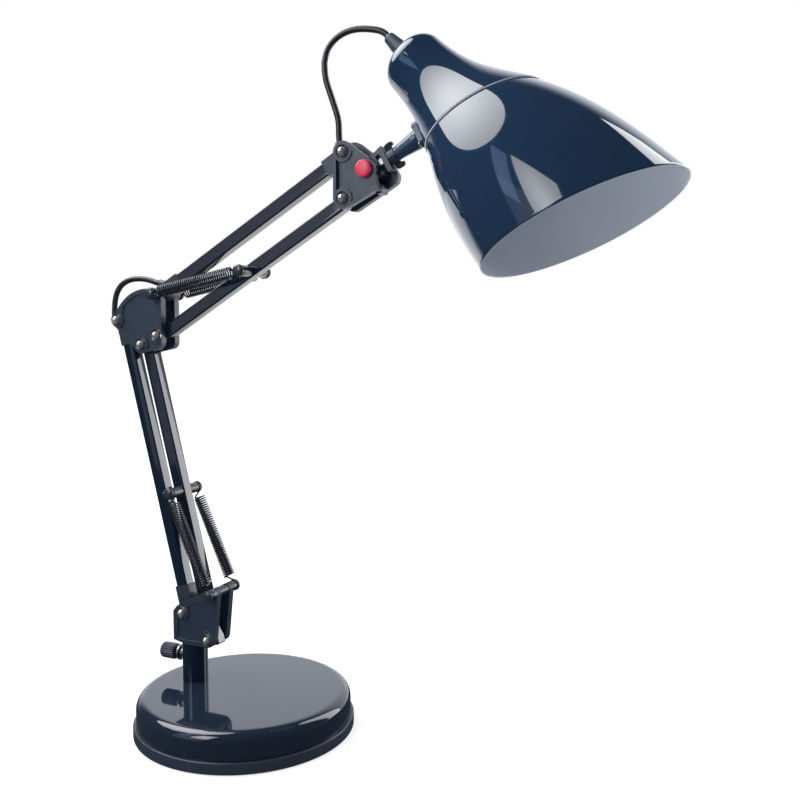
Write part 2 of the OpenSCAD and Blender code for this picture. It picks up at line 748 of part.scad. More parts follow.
// Tapered stem from the wing nut to the shade
module stem() color("#1b2534") on_shade_stem() translate([stem_x, 0, 0]) rotate([0, 90, 0])
    difference() {
        union() {
            cylinder(d1 = stem_d, d2 = stem_foot_d, h = stem_reach - saddle_t - stem_x);
            translate([0, 0, stem_reach - saddle_t - stem_x - 2.9]) rotate([90, 0, 0])
                cylinder(r1 = 2.1, r2 = 1.8, h = stem_foot_d/2 + 0.6);
        }
        translate([0, 0, -over]) cylinder(r = stud_r + run, h = 3 + over);
    }

saddle_t = 3;

// ---------------------------------------------------------------- shade

// Outer profile of neck and bowl as [radius, distance along the axis]
function bezier(a, b, c, d, u) =
    pow(1 - u, 3)*a + 3*pow(1 - u, 2)*u*b + 3*(1 - u)*pow(u, 2)*c + pow(u, 3)*d;
flare_top = neck_top + shoulder_r;
flare = [for (i = [0:20]) bezier([neck_r, flare_top], [neck_r + 3.2, flare_at + 1],
    [mouth_r - 8.2, flare_at - 1], [mouth_r, shade_len], i/20)];
// The profile's line moved inwards, run on past the mouth so that the slanted cut ends it
function wall_line(inset) = concat(
    [[0, neck_top + inset], [neck_r - shoulder_r, neck_top + inset]],
    arc([neck_r - shoulder_r, neck_top + shoulder_r], shoulder_r - inset, -75, -12, 5),
    [for (p = flare) p - [inset, 0]],
    [[mouth_r - inset + 3, shade_len + 40]]);
function reversed(line) = [for (i = [len(line) - 1:-1:0]) line[i]];
function wall(out, in) = concat(wall_line(out), reversed(wall_line(in)));
neck_out = -0.5;
bowl_out = neck_out + shade_t + fit;

foot_r = lookup(stem_station, [for (p = flare) [p[1], p[0]]]);

// Children are drawn with the shade's axis along +Z from the gland's tip to the mouth
// and with the stem's foot on the side that faces -X
module on_shade() on_shade_stem() translate([stem_reach, 0, 0]) rotate([0, 90 + shade_hang, 0])
    translate([-foot_r, 0, -stem_station]) children();

// Block on one side of a slanted plane across the axis at the given station
module slanted_cut(station, slant, above) translate([0, 0, station]) rotate([0, slant, 0])
    translate([-200, -200, above ? 0 : -400]) cube([400, 400, 400]);

module shade_neck() color("#1b2a40") on_shade() difference() {
    rotate_extrude($fn = 96) polygon(wall(neck_out, neck_out + shade_t));
    slanted_cut(seam_at, seam_slant, true);
    translate([0, 0, neck_top - 3]) cylinder(r = nipple_r + run, h = 6);
    at_rivets() cylinder(r = blind_r + fit, h = 20);
}

module shade_bowl() color("#1b2a40") on_shade() difference() {
    rotate_extrude($fn = 96) polygon(wall(bowl_out, bowl_out + shade_t));
    slanted_cut(seam_at - 6, seam_slant, false);
    slanted_cut(shade_len, mouth_slant, true);
}

gland_at = -3;
gland_seat = neck_top + neck_out;
nipple_r = 5;

// Tapered cable gland on the neck's top
module shade_gland() color("#23272e") on_shade() difference() {
    rotate_extrude() polygon([[0, gland_at], [3.2, gland_at], [4.2, gland_at + 1.2],
        [6.4, gland_seat - 1], [6.8, gland_seat], [0, gland_seat]]);
    translate([0, 0, gland_at - over]) cylinder(r = cord_r - 0.6, h = 4 + over);
    translate([0, 0, gland_seat - 5]) cylinder(r = nipple_r + run, h = 5 + over);
}

// Threaded nipple that joins gland, neck and lampholder
module gland_nipple() color("#c9a652") on_shade() difference() {
    translate([0, 0, gland_seat - 4.7]) cylinder(r = nipple_r, h = holder_top + 5 - gland_seat + 4.7);
    translate([0, 0, gland_seat - 4.7 - over]) cylinder(r = nipple_r - 1.6, h = 40);
}

holder_top = neck_top + shade_t + 8;
holder_r = thread_r + 3.9;
holder_len = 44;
sleeve_r = thread_r + 0.8;
sleeve_len = 25;
sleeve_at = holder_top + 16;
well_at = holder_top + 14;
contact_r = 3;

// Plastic body of the lampholder
module lampholder_body() color("#d9d6ce") on_shade() difference() {
    translate([0, 0, holder_top]) rotate_extrude() polygon([[0, 0], [9, 0], [holder_r - 4, 3],
        [holder_r - 1.6, 8], [holder_r, 9], [holder_r, holder_len], [0, holder_len]]);
    translate([0, 0, well_at]) cylinder(r = sleeve_r + fit, h = holder_len);
    translate([0, 0, holder_top - over]) cylinder(r = nipple_r + run, h = 8 + over);
    translate([0, 0, holder_top + 6]) cylinder(r = contact_r, h = 9);
}

// Brass sleeve with the lamp's thread
module lampholder_thread() color("#c9a652") on_shade() difference() {
    translate([0, 0, sleeve_at]) cylinder(r = sleeve_r, h = sleeve_len);
    translate([0, 0, sleeve_at - over]) cylinder(r = thread_r, h = sleeve_len + 2*over);
}

// Brass centre contact
module lampholder_contact() color("#c9a652") on_shade()
    translate([0, 0, holder_top + 7]) {
        cylinder(r = contact_r - fit, h = well_at - holder_top - 7);
        translate([0, 0, well_at - holder_top - 7]) cylinder(r = contact_r + 1.4, h = 1.6);
    }

// Saddle between the stem and the neck, hollowed to the neck's own round
module shade_bracket() color("#232c3a") difference() {
    on_shade_stem() translate([stem_reach - saddle_t, 0, 0.3]) rotate([0, 90, 0]) linear_extrude(8)
        polygon(rounded_rect(19, 17, 4, 6));
    on_shade() rotate_extrude($fn = 96) polygon(concat(wall_line(neck_out - run), [[0, shade_len + 40]]));
    on_shade_stem() at_rivets_in_stem() cylinder(r = blind_r + fit, h = 20);
}

blind_r = 1.2;
// The blind rivets stand along +Z, in the stem's frame and in the shade's
module at_rivets_in_stem() for (y = [-6.1, 6.1], z = [-6.8, 6.8])
    translate([stem_reach - saddle_t - over, y, z]) rotate([0, 90, 0]) children();
module at_rivets() translate([foot_r, 0, stem_station]) rotate([0, -90 - shade_hang, 0])
    translate([-stem_reach, 0, 0]) at_rivets_in_stem() children();

// Four blind rivets through the saddle and the neck's wall
module shade_bolts() color("#c4c7ca") on_shade_stem() at_rivets_in_stem() {
    translate([0, 0, over]) cylinder(r = blind_r, h = saddle_t + 5);
    rotate_extrude() polygon([[0, over], [1.9, over], [1.7, over - 0.7], [1, over - 1.1], [0, over - 1.2]]);
}

// ---------------------------------------------------------------- springs

// Centreline of a spring of the given span along x: a loop round each pin and the coil
function spring_path(span) =
    let (
        R = (spring_d - wire_d)/2,
        loop_c = R - pin_groove_r - wire_d/2 - gap,
        start = hook_len, stop = span - hook_len, pitch = (stop - start)/curls)
    concat(
        [for (a = [35:36:323]) [loop_c + R*cos(a), 0, R*sin(a)]],
        [[loop_c + R, 0, 0.1], [loop_c + R + (start - loop_c - R)*0.5, 0, R*0.72]],
        [for (i = [0:8*curls]) [start + pitch*i/8, R*cos(90 + 45*i), R*sin(90 + 45*i)]],
        [[stop + (start - loop_c - R)*0.5, 0, R*0.72], [span - loop_c - R, 0, 0.1]],
        [for (a = [180 + 37:36:505]) [span - loop_c + R*cos(a), 0, R*sin(a)]]);

// Least distance between two stretches of the wire, less its diameter
function self_gap(path) = min([for (i = [0:len(path) - 7], j = [i + 6:len(path) - 1])
    norm(path[i] - path[j])]) - wire_d;

module spring(from, to, side) {
    reach = to - from;
    path = spring_path(norm(reach));
    echo(least_gap_of_the_wire_to_itself_mm = self_gap(path));
    color("#2e3238") translate([0, side*spring_y, 0]) at(from, atan2(reach[1], reach[0]))
        sweep(path, wire_d/2, 6, [0, 1, 0]);
}

module lower_spring_near() spring(P, Q, -1);
module lower_spring_far() spring(P, Q, 1);
module upper_spring_near() spring(D, S, -1);
module upper_spring_far() spring(D, S, 1);

// ---------------------------------------------------------------- cords

// Routes in the arm plane, chosen by hand between the spouts and the gland
elbow_route = [[-120, 324], [-119, 332.5], [-116, 340], [-110.5, 345.5], [-102.5, 348.5],
    [-92.5, 349], [-83.5, 347.6]];
head_route = [[85.4, 0, 456], [82.4, 0, 466.5], [78.4, 0, 477.5], [75, 0.4, 488], [73.8, 1.2, 498],
    [75.8, 2.2, 507], [81.4, 3.4, 514], [89.4, 4.6, 518.2], [98.6, 5.6, 519.4], [107.6, 6.4, 518.4]];

function level(points) = [for (p = points) [p[0], 0, p[1]]];

module cord(points) color("#23262c") sweep(points, cord_r, 8, [0, 1, 0]);

module elbow_cord() {
    low = spout_mouth(A2, lower_turn + 180, -1, elbow_low_spout);
    low_way = spout_way(lower_turn + 180, -1, elbow_low_spout);
    top = spout_mouth(D, upper_turn, 1, elbow_top_spout);
    top_way = spout_way(upper_turn, 1, elbow_top_spout);
    cord(level(concat([low, low + 4.5*low_way], elbow_route, [top + 4.5*top_way, top])));
}

// A point of the stem's frame, turned with the shade, in the lamp's frame
function from_stem(x, z) = let (y = -z*sin(shade_turn), h = z*cos(shade_turn))
    [K[0] + x*cos(stem_rise) - h*sin(stem_rise), y, K[1] + x*sin(stem_rise) + h*cos(stem_rise)];
// A point on the shade's axis
function on_axis(station) = let (t = station - stem_station)
    from_stem(stem_reach + foot_r*sin(shade_hang) + t*cos(shade_hang),
        foot_r*cos(shade_hang) - t*sin(shade_hang));

module head_cord() {
    low = spout_mouth(H1, upper_turn + 180, -1, head_spout);
    low_way = spout_way(upper_turn + 180, -1, head_spout);
    cord(concat(level([low, low + 4.5*low_way]), head_route,
        [on_axis(gland_at - 4.5), on_axis(gland_at)]));
    echo(mouth_of_the_gland = on_axis(gland_at), stem_foot_radius = foot_r);
}

// ---------------------------------------------------------------- drawing

foot_pad();
bottom_plate();
base_screws();
skirt_ring();
ballast();
base_cover();
cable_grommet();
post_tube();
clamp_boss();
post_bush();
post_bolt();
thumb_knob();
thumb_screw();
swivel_spigot();
lower_block();
lower_plate_near();
lower_plate_far();
lower_rivets();
lower_spring_pin();
front_bar();
front_bar_plugs();
arm_spring_pin();
rear_bar();
rear_bar_ends();
elbow_plate_near();
elbow_plate_far();
elbow_rivets();
elbow_spring_pin();
elbow_spacer();
bottom_bar();
bottom_bar_plugs();
upper_spring_pin();
top_bar();
top_bar_ends();
head_plate_near();
head_plate_far();
head_rivets();
head_block();
tilt_bolt();
tilt_cap();
tilt_nut();
knuckle();
wing_nut();
stem();
stem_bolt();
shade_bracket();
shade_bolts();
shade_neck();
shade_bowl();
shade_gland();
gland_nipple();
lampholder_body();
lampholder_thread();
lampholder_contact();
lower_spring_near();
lower_spring_far();
upper_spring_near();
upper_spring_far();
elbow_cord();
head_cord();
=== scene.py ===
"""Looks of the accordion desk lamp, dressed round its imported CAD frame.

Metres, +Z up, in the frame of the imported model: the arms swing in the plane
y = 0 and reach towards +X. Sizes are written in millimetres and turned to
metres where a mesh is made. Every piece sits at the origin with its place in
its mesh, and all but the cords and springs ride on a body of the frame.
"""

import json
import logging
import math
from dataclasses import dataclass, field
from enum import Enum
from typing import Callable, Optional, Sequence

import bmesh
import bpy
import numpy as np
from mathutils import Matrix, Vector

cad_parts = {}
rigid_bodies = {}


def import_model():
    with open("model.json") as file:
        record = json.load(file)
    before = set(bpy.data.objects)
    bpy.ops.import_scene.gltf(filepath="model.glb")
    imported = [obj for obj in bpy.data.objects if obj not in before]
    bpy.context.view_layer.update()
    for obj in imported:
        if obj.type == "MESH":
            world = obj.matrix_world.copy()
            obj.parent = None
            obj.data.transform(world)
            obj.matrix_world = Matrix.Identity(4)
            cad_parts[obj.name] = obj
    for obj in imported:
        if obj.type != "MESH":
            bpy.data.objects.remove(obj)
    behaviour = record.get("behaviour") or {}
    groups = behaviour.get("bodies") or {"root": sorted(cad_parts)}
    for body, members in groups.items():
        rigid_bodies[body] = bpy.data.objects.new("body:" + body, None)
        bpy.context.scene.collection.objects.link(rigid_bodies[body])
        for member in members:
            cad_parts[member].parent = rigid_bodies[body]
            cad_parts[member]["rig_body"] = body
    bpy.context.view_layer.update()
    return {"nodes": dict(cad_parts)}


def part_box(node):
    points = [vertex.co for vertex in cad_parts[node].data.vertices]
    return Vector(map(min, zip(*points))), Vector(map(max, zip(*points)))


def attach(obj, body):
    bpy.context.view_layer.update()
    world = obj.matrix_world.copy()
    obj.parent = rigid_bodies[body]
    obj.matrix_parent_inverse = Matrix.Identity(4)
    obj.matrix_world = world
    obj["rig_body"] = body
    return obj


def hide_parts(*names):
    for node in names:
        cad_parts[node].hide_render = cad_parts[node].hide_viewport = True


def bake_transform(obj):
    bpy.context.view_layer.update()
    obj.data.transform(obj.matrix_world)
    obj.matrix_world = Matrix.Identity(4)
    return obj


for leftover in list(bpy.data.objects):
    bpy.data.objects.remove(leftover)
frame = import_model()

MM = 0.001
# Points of a CAD mesh closer than this, in metres, are one point
MERGE_M = 2e-6
# Faces of a CAD mesh within this angle, in degrees, are one flat
FLAT_DEG = 0.6
# The edge angle, in degrees, from which a refined piece's shading breaks
CRISP_DEG = 36.0
log = logging.getLogger("lamp")

Grid = np.ndarray
Vec = np.ndarray


# ------------------------------------------------------------------ geometry


class Axis(Enum):
    """An axis of a right-handed frame, by its number."""

    X = 0
    Y = 1
    Z = 2


def rotation(axis: Axis, degrees: float) -> Vec:
    """Right-handed turn about one axis.

    Args:
        axis: the axis that stays still.
        degrees: the angle of the turn.

    Returns:
        The 3 by 3 matrix: cosine and sine in the plane of the other two axes.
    """
    turn = np.eye(3)
    a, b = (axis.value + 1) % 3, (axis.value + 2) % 3
    c, s = math.cos(math.radians(degrees)), math.sin(math.radians(degrees))
    turn[a, a], turn[a, b], turn[b, a], turn[b, b] = c, -s, s, c
    return turn


@dataclass(frozen=True)
class Placement:
    """A rigid move from a sub-assembly's own frame to the lamp's, in millimetres."""

    turn: Vec = field(default_factory=lambda: np.eye(3))
    shift: Vec = field(default_factory=lambda: np.zeros(3))

    def moved(self, x: float, y: float, z: float) -> "Placement":
        """The same frame with its origin moved along its own axes."""
        return Placement(self.turn, self.shift + self.turn @ np.array([x, y, z]))

    def turned(self, axis: Axis, degrees: float) -> "Placement":
        """The same frame turned about one of its own axes."""
        return Placement(self.turn @ rotation(axis, degrees), self.shift)

    def points(self, local: Grid) -> Grid:
        """Local points of any grid shape, in the lamp's frame."""
        return local @ self.turn.T + self.shift


def unit(vectors: Vec) -> Vec:
    """The vectors along the last axis, each divided by its length."""
    return vectors / np.linalg.norm(vectors, axis=-1, keepdims=True)


def middle_of(node: str) -> Vec:
    """The middle of a CAD node's box, in millimetres."""
    low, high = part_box(node)
    return (np.array(low) + np.array(high)) / 2 / MM


def surface(
    name: str,
    grid: Grid,
    closed_rows: bool = False,
    closed_columns: bool = True,
    capped: bool = False,
    sharp_deg: float = 40.0,
) -> bpy.types.Object:
    """Makes a mesh object from a grid of points, with quads between neighbours.

    Args:
        name: the piece's name.
        grid: rows by columns by 3, in millimetres.
        closed_rows: whether the last row joins the first.
        closed_columns: whether the last column joins the first.
        capped: whether a fan closes the first and the last row.
        sharp_deg: the edge angle from which shading breaks.

    Returns:
        The object, at the origin, with its faces pointing outwards.
    """
    rows, columns = grid.shape[:2]
    index = np.arange(rows * columns).reshape(rows, columns)
    if closed_rows:
        index = np.vstack([index, index[:1]])
    if closed_columns:
        index = np.hstack([index, index[:, :1]])
    quads = np.stack([index[:-1, :-1], index[:-1, 1:], index[1:, 1:], index[1:, :-1]], -1)
    points, faces = grid.reshape(-1, 3), quads.reshape(-1, 4).tolist()
    if capped:
        first, last = index[0], index[-1]
        low, high = len(points), len(points) + 1
        points = np.vstack([points, grid[0].mean(0), grid[-1].mean(0)])
        faces += np.stack([np.full(len(first) - 1, low), first[1:], first[:-1]], -1).tolist()
        faces += np.stack([np.full(len(last) - 1, high), last[:-1], last[1:]], -1).tolist()
    corners = points[quads.reshape(-1, 4)]
    volume = sum(
        np.einsum("ij,ij->i", corners[:, 0], np.cross(corners[:, i], corners[:, i + 1])).sum()
        for i in (1, 2)
    )
    if volume < 0:
        faces = [face[::-1] for face in faces]
    mesh = bpy.data.meshes.new(name)
    mesh.from_pydata((points * MM).tolist(), [], faces)
    return shaded(name, mesh, sharp_deg)


def shaded(name: str, mesh: bpy.types.Mesh, sharp_deg: float) -> bpy.types.Object:
    """Links a mesh as an object that is smooth up to an edge angle.

    Args:
        name: the piece's name.
        mesh: its mesh, in metres.
        sharp_deg: the edge angle from which shading breaks.

    Returns:
        The object, at the origin.
    """
    mesh.polygons.foreach_set("use_smooth", np.ones(len(mesh.polygons), bool))
    mesh.set_sharp_from_angle(angle=math.radians(sharp_deg))
    mesh.update()
    piece = bpy.data.objects.new(name, mesh)
    bpy.context.scene.collection.objects.link(piece)
    return piece


def tube(name: str, path: Vec, radius: float, sides: int, across: Vec) -> bpy.types.Object:
    """A round rod along a path: each ring lies square to the path's slope.

    Args:
        name: the piece's name.
        path: the points that it follows, in millimetres.
        radius: the rod's radius.
        sides: how many faces go round it.
        across: one direction, or one a point, that is never along the path.

    Returns:
        The closed object.
    """
    along = unit(np.gradient(path, axis=0))
    side = unit(np.cross(along, np.broadcast_to(across, along.shape)))
    up = np.cross(side, along)
    angle = np.linspace(0, 2 * np.pi, sides, endpoint=False)
    ring = np.cos(angle)[:, None] * side[:, None] + np.sin(angle)[:, None] * up[:, None]
    return surface(name, path[:, None] + radius * ring, capped=True)


def through(points: Vec, each: int) -> Vec:
    """A smooth curve through points: the natural cubic spline over chord length.

    Args:
        points: the route's points.
        each: how many steps each span is cut into.

    Returns:
        The curve's points. The second slopes solve the usual tridiagonal system.
    """
    knots = np.append(0, np.cumsum(np.linalg.norm(np.diff(points, axis=0), axis=1)))
    step, slope = np.diff(knots), np.diff(points, axis=0) / np.diff(knots)[:, None]
    system = np.diag(np.concatenate([[1], 2 * (step[:-1] + step[1:]), [1]]))
    inner = np.arange(1, len(points) - 1)
    system[inner, inner - 1], system[inner, inner + 1] = step[:-1], step[1:]
    bend = np.zeros_like(points)
    bend[1:-1] = 6 * np.diff(slope, axis=0)
    bend = np.linalg.solve(system, bend)
    where = np.append(
        (knots[:-1, None] + step[:, None] * np.arange(each) / each).ravel(), knots[-1]
    )
    span = np.clip(np.searchsorted(knots, where, "right") - 1, 0, len(step) - 1)
    h = step[span][:, None]
    a = (knots[span + 1] - where)[:, None]
    b = (where - knots[span])[:, None]
    return (
        (bend[span] * a**3 + bend[span + 1] * b**3) / (6 * h)
        + (points[span] / h - bend[span] * h / 6) * a
        + (points[span + 1] / h - bend[span + 1] * h / 6) * b
    )


# ------------------------------------------------------------------ finishes


def linear(code: str) -> tuple[float, float, float, float]:
    """An sRGB hex colour as linear red, green, blue and full alpha, by the sRGB curve."""
    srgb = np.array([int(code[i : i + 2], 16) for i in (1, 3, 5)]) / 255
    flat = np.where(srgb <= 0.04045, srgb / 12.92, ((srgb + 0.055) / 1.055) ** 2.4)
    return (*(float(c) for c in flat), 1.0)


def add(
    tree: bpy.types.NodeTree,
    kind: str,
    settings: Optional[dict] = None,
    links: Optional[dict] = None,
) -> bpy.types.Node:
    """Adds one shader node.

    Args:
        tree: the tree that gets it.
        kind: Blender's name for the node.
        settings: values by socket name or number, or by property name.
        links: the sockets that feed it, by its own socket name or number.

    Returns:
        The node.
    """
    node = tree.nodes.new(kind)
    for key, value in (settings or {}).items():
        if isinstance(key, int) or key in node.inputs:
            node.inputs[key].default_value = value
        else:
            setattr(node, key, value)
    for key, source in (links or {}).items():
        tree.links.new(source, node.inputs[key])
    return node


# Noise lies nearly all between these two values
NOISE_LOW, NOISE_HIGH = 0.3, 0.7
# The slow cloudiness of a surface's colour and gloss
DRIFT_NOISE = {"Detail": 4.0, "Roughness": 0.6}


class Relief(Enum):
    """The fine relief that a surface's making leaves, as a noise's detail and roughness."""

    PEEL = (1.0, 0.35)
    MOULD = (3.0, 0.6)
    DRAWN = (2.0, 0.5)
    CAST = (5.0, 0.65)
    FOAM = (0.0, 0.0)


@dataclass(frozen=True)
class Finish:
    """A real surface: its colour, gloss and relief, as a procedural material.

    The colour drifts a little between two values over drift_mm, the roughness
    moves between its two ends with it, and the relief has a grain of grain_mm
    and a height of depth_mm.
    """

    name: str
    colour: str
    drift: str
    roughness: tuple[float, float]
    relief: Relief
    grain_mm: float
    depth_mm: float
    drift_mm: float = 18.0
    metallic: float = 0.0
    ior: float = 1.5
    coat: float = 0.0
    coat_roughness: float = 0.03

    def material(self) -> bpy.types.Material:
        """Builds the material once: one noise drives colour and gloss, another the relief.

        Returns:
            The material, from the first call on the same one.
        """
        made = bpy.data.materials.get(self.name)
        if made:
            return made
        made = bpy.data.materials.new(self.name)
        made.use_nodes = True
        tree = made.node_tree
        tree.nodes.clear()
        place = add(tree, "ShaderNodeTexCoord").outputs["Object"]
        drift = add(
            tree,
            "ShaderNodeTexNoise",
            {"Scale": 1 / (self.drift_mm * MM), **DRIFT_NOISE},
            {"Vector": place},
        ).outputs["Fac"]
        colour = add(
            tree,
            "ShaderNodeMix",
            {"data_type": "RGBA", 6: linear(self.colour), 7: linear(self.drift)},
            {0: drift},
        ).outputs[2]
        rough = add(
            tree,
            "ShaderNodeMapRange",
            {"From Min": NOISE_LOW, "From Max": NOISE_HIGH, "To Min": self.roughness[0],
             "To Max": self.roughness[1]},
            {"Value": drift},
        ).outputs["Result"]
        bump = add(
            tree,
            "ShaderNodeBump",
            {"Strength": 1.0, "Distance": self.depth_mm * MM},
            {"Height": self.height(tree, place)},
        ).outputs["Normal"]
        shader = add(
            tree,
            "ShaderNodeBsdfPrincipled",
            {"Metallic": self.metallic, "IOR": self.ior, "Coat Weight": self.coat,
             "Coat Roughness": self.coat_roughness},
            {"Base Color": colour, "Roughness": rough, "Normal": bump},
        )
        add(tree, "ShaderNodeOutputMaterial", {}, {"Surface": shader.outputs["BSDF"]})
        return made

    def height(
        self, tree: bpy.types.NodeTree, place: bpy.types.NodeSocket
    ) -> bpy.types.NodeSocket:
        """The relief's height: noise of the grain's size, or cells where it is foam.

        Args:
            tree: the material's nodes.
            place: the point on the surface.

        Returns:
            The socket of the height.
        """
        scale = 1 / (self.grain_mm * MM)
        if self.relief is Relief.FOAM:
            cells = add(tree, "ShaderNodeTexVoronoi", {"Scale": scale}, {"Vector": place})
            return cells.outputs["Distance"]
        detail, rough = self.relief.value
        noise = add(
            tree,
            "ShaderNodeTexNoise",
            {"Scale": scale, "Detail": detail, "Roughness": rough},
            {"Vector": place},
        )
        return noise.outputs["Fac"]


# Stoved gloss enamel over spun steel: deep, wet-looking navy with a slight orange peel
SHADE_ENAMEL = Finish(
    "navy_stoved_enamel", "#192C43", "#1C3048", (0.04, 0.06), Relief.PEEL, 4.0, 0.002,
    coat=0.3,
)
# White enamel inside the shade: evens out the light, half matt
LINING_ENAMEL = Finish(
    "white_enamel_lining", "#D5D9E0", "#CDD2DA", (0.3, 0.4), Relief.PEEL, 3.0, 0.006,
)
# The same enamel on the pressed steel cover of the base, nearly black
BASE_ENAMEL = Finish(
    "navy_enamel_on_pressed_steel", "#19222F", "#1D2735", (0.04, 0.07), Relief.PEEL, 5.0, 0.002,
    coat=0.3,
)
# Gloss powder coat on square steel tube: a touch softer than the enamel
TUBE_COAT = Finish(
    "navy_powder_coat_on_square_tube", "#101B2A", "#132031", (0.05, 0.08), Relief.PEEL, 2.5, 0.001,
    coat=0.4,
)
# The same powder on the shade's holder, baked duller: its light is broad and soft.
# Its colour is painted lighter than the tube's coat, as a painted highlight
SATIN_COAT_WITH_PAINTED_HIGHLIGHT = Finish(
    "navy_satin_powder_coat", "#24364E", "#2A3E58", (0.22, 0.3), Relief.PEEL, 2.0, 0.002,
    coat=0.15, coat_roughness=0.15,
)
# Glass-filled nylon, spark-eroded mould: a fine even grain with a dull sheen
NYLON = Finish(
    "spark_textured_black_nylon", "#232F40", "#283548", (0.36, 0.46), Relief.MOULD, 0.35, 0.008,
    drift_mm=9.0, ior=1.53,
)
# Plain ABS of the skirt ring: half matt, with faint flow marks
SKIRT_ABS = Finish(
    "moulded_black_abs", "#252E3D", "#2B3545", (0.42, 0.52), Relief.MOULD, 1.2, 0.003,
    ior=1.53, coat=0.2,
)
# Nickel-plated steel rivets: bright, with faint tool marks
NICKEL = Finish(
    "nickel_plated_rivet_steel", "#DED6D0", "#D0C8C2", (0.26, 0.33), Relief.DRAWN, 0.5, 0.001,
    drift_mm=3.0, metallic=0.75,
)
# Black-oxide pins: dark steel with an oily shine
PIN_BLACK = Finish(
    "black_oxide_pin_steel", "#262A31", "#30343C", (0.2, 0.3), Relief.DRAWN, 0.6, 0.004,
    drift_mm=4.0, coat=0.3,
)
# Oiled music wire: blackened steel, drawn lengthwise
SPRING_WIRE = Finish(
    "blackened_music_wire", "#5E6169", "#494C54", (0.22, 0.3), Relief.DRAWN, 0.5, 0.003,
    drift_mm=2.5, metallic=0.85,
)
# Plasticised PVC of the cord: smooth, slightly waxy
CORD_PVC = Finish(
    "black_pvc_cord_sheath", "#1A1E26", "#20242D", (0.3, 0.42), Relief.MOULD, 0.8, 0.01,
    drift_mm=6.0, ior=1.52,
)
# Pigmented polypropylene of the tilt bolt's cap
CAP_RED = Finish(
    "moulded_red_polypropylene", "#DC2D4E", "#E23A5A", (0.3, 0.38), Relief.MOULD, 0.6, 0.006,
    drift_mm=5.0, ior=1.49,
)
# Zinc-plated screws, plates and bushes: grey, slightly cloudy
ZINC = Finish(
    "zinc_plated_steel", "#9FA3A8", "#8B9096", (0.28, 0.42), Relief.DRAWN, 0.8, 0.006,
    drift_mm=5.0, metallic=1.0,
)
# Sand-cast grey iron of the ballast: coarse and matt
CAST_IRON = Finish(
    "sand_cast_grey_iron", "#3A3B3E", "#4A4A4C", (0.6, 0.8), Relief.CAST, 1.6, 0.15,
    metallic=0.6,
)
# Polyurethane foam sheet under the base
FOAM = Finish(
    "closed_cell_foam_sheet", "#1D1F22", "#26282C", (0.85, 0.95), Relief.FOAM, 0.9, 0.1,
)
# EPDM rubber of the cord bush
RUBBER = Finish(
    "epdm_rubber", "#141517", "#1B1C1F", (0.5, 0.62), Relief.MOULD, 0.7, 0.01,
    drift_mm=5.0, ior=1.52,
)
# Turned brass of nipple, threaded sleeve and contact
BRASS = Finish(
    "turned_brass", "#C9A04E", "#B8903F", (0.18, 0.3), Relief.DRAWN, 0.5, 0.005,
    drift_mm=4.0, metallic=1.0,
)
# Heat-resisting phenolic of the lampholder, off-white
PHENOLIC = Finish(
    "moulded_white_phenolic", "#D8D4CA", "#CFCABF", (0.3, 0.4), Relief.MOULD, 0.9, 0.008,
)

# The finish that each of the record's slots gets
FINISH_OF: dict[str, Finish] = {
    "pad_foam": FOAM,
    "plain_steel": ZINC,
    "black_plastic": SKIRT_ABS,
    "iron": CAST_IRON,
    "base_paint": BASE_ENAMEL,
    "black_rubber": RUBBER,
    "navy_paint": TUBE_COAT,
    "bracket_plastic": NYLON,
    "bright_rivet": NICKEL,
    "pin_paint": PIN_BLACK,
    "red_plastic": CAP_RED,
    "shade_paint": SHADE_ENAMEL,
    "brass_part": BRASS,
    "holder_plastic": PHENOLIC,
    "spring_wire": SPRING_WIRE,
    "cord_sheath": CORD_PVC,
}


# ------------------------------------------------------------------ dressing


@dataclass(frozen=True)
class Edge:
    """How an edge is broken: its width in millimetres, steps, and least angle."""

    width: float
    steps: int = 2
    least_deg: float = 38.0


MOULDED_EDGE = Edge(0.3)
CRISP_EDGE = Edge(0.25)


def dress(
    piece: bpy.types.Object,
    finishes: Sequence[Finish],
    body: str,
    stands_for: Sequence[str] = (),
) -> bpy.types.Object:
    """Gives a piece its finishes, lets it ride, and hides what it stands for.

    Args:
        piece: the object.
        finishes: its finishes, in the order of its faces' material numbers.
        body: the body that it rides on, or nothing, and then it rides on none.
        stands_for: the CAD nodes that it replaces.

    Returns:
        The same object.
    """
    for finish in finishes:
        piece.data.materials.append(finish.material())
    if stands_for:
        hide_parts(*stands_for)
    if body:
        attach(piece, body)
    log.info("%s: %d faces on %s", piece.name, len(piece.data.polygons), body or "two bodies")
    return piece


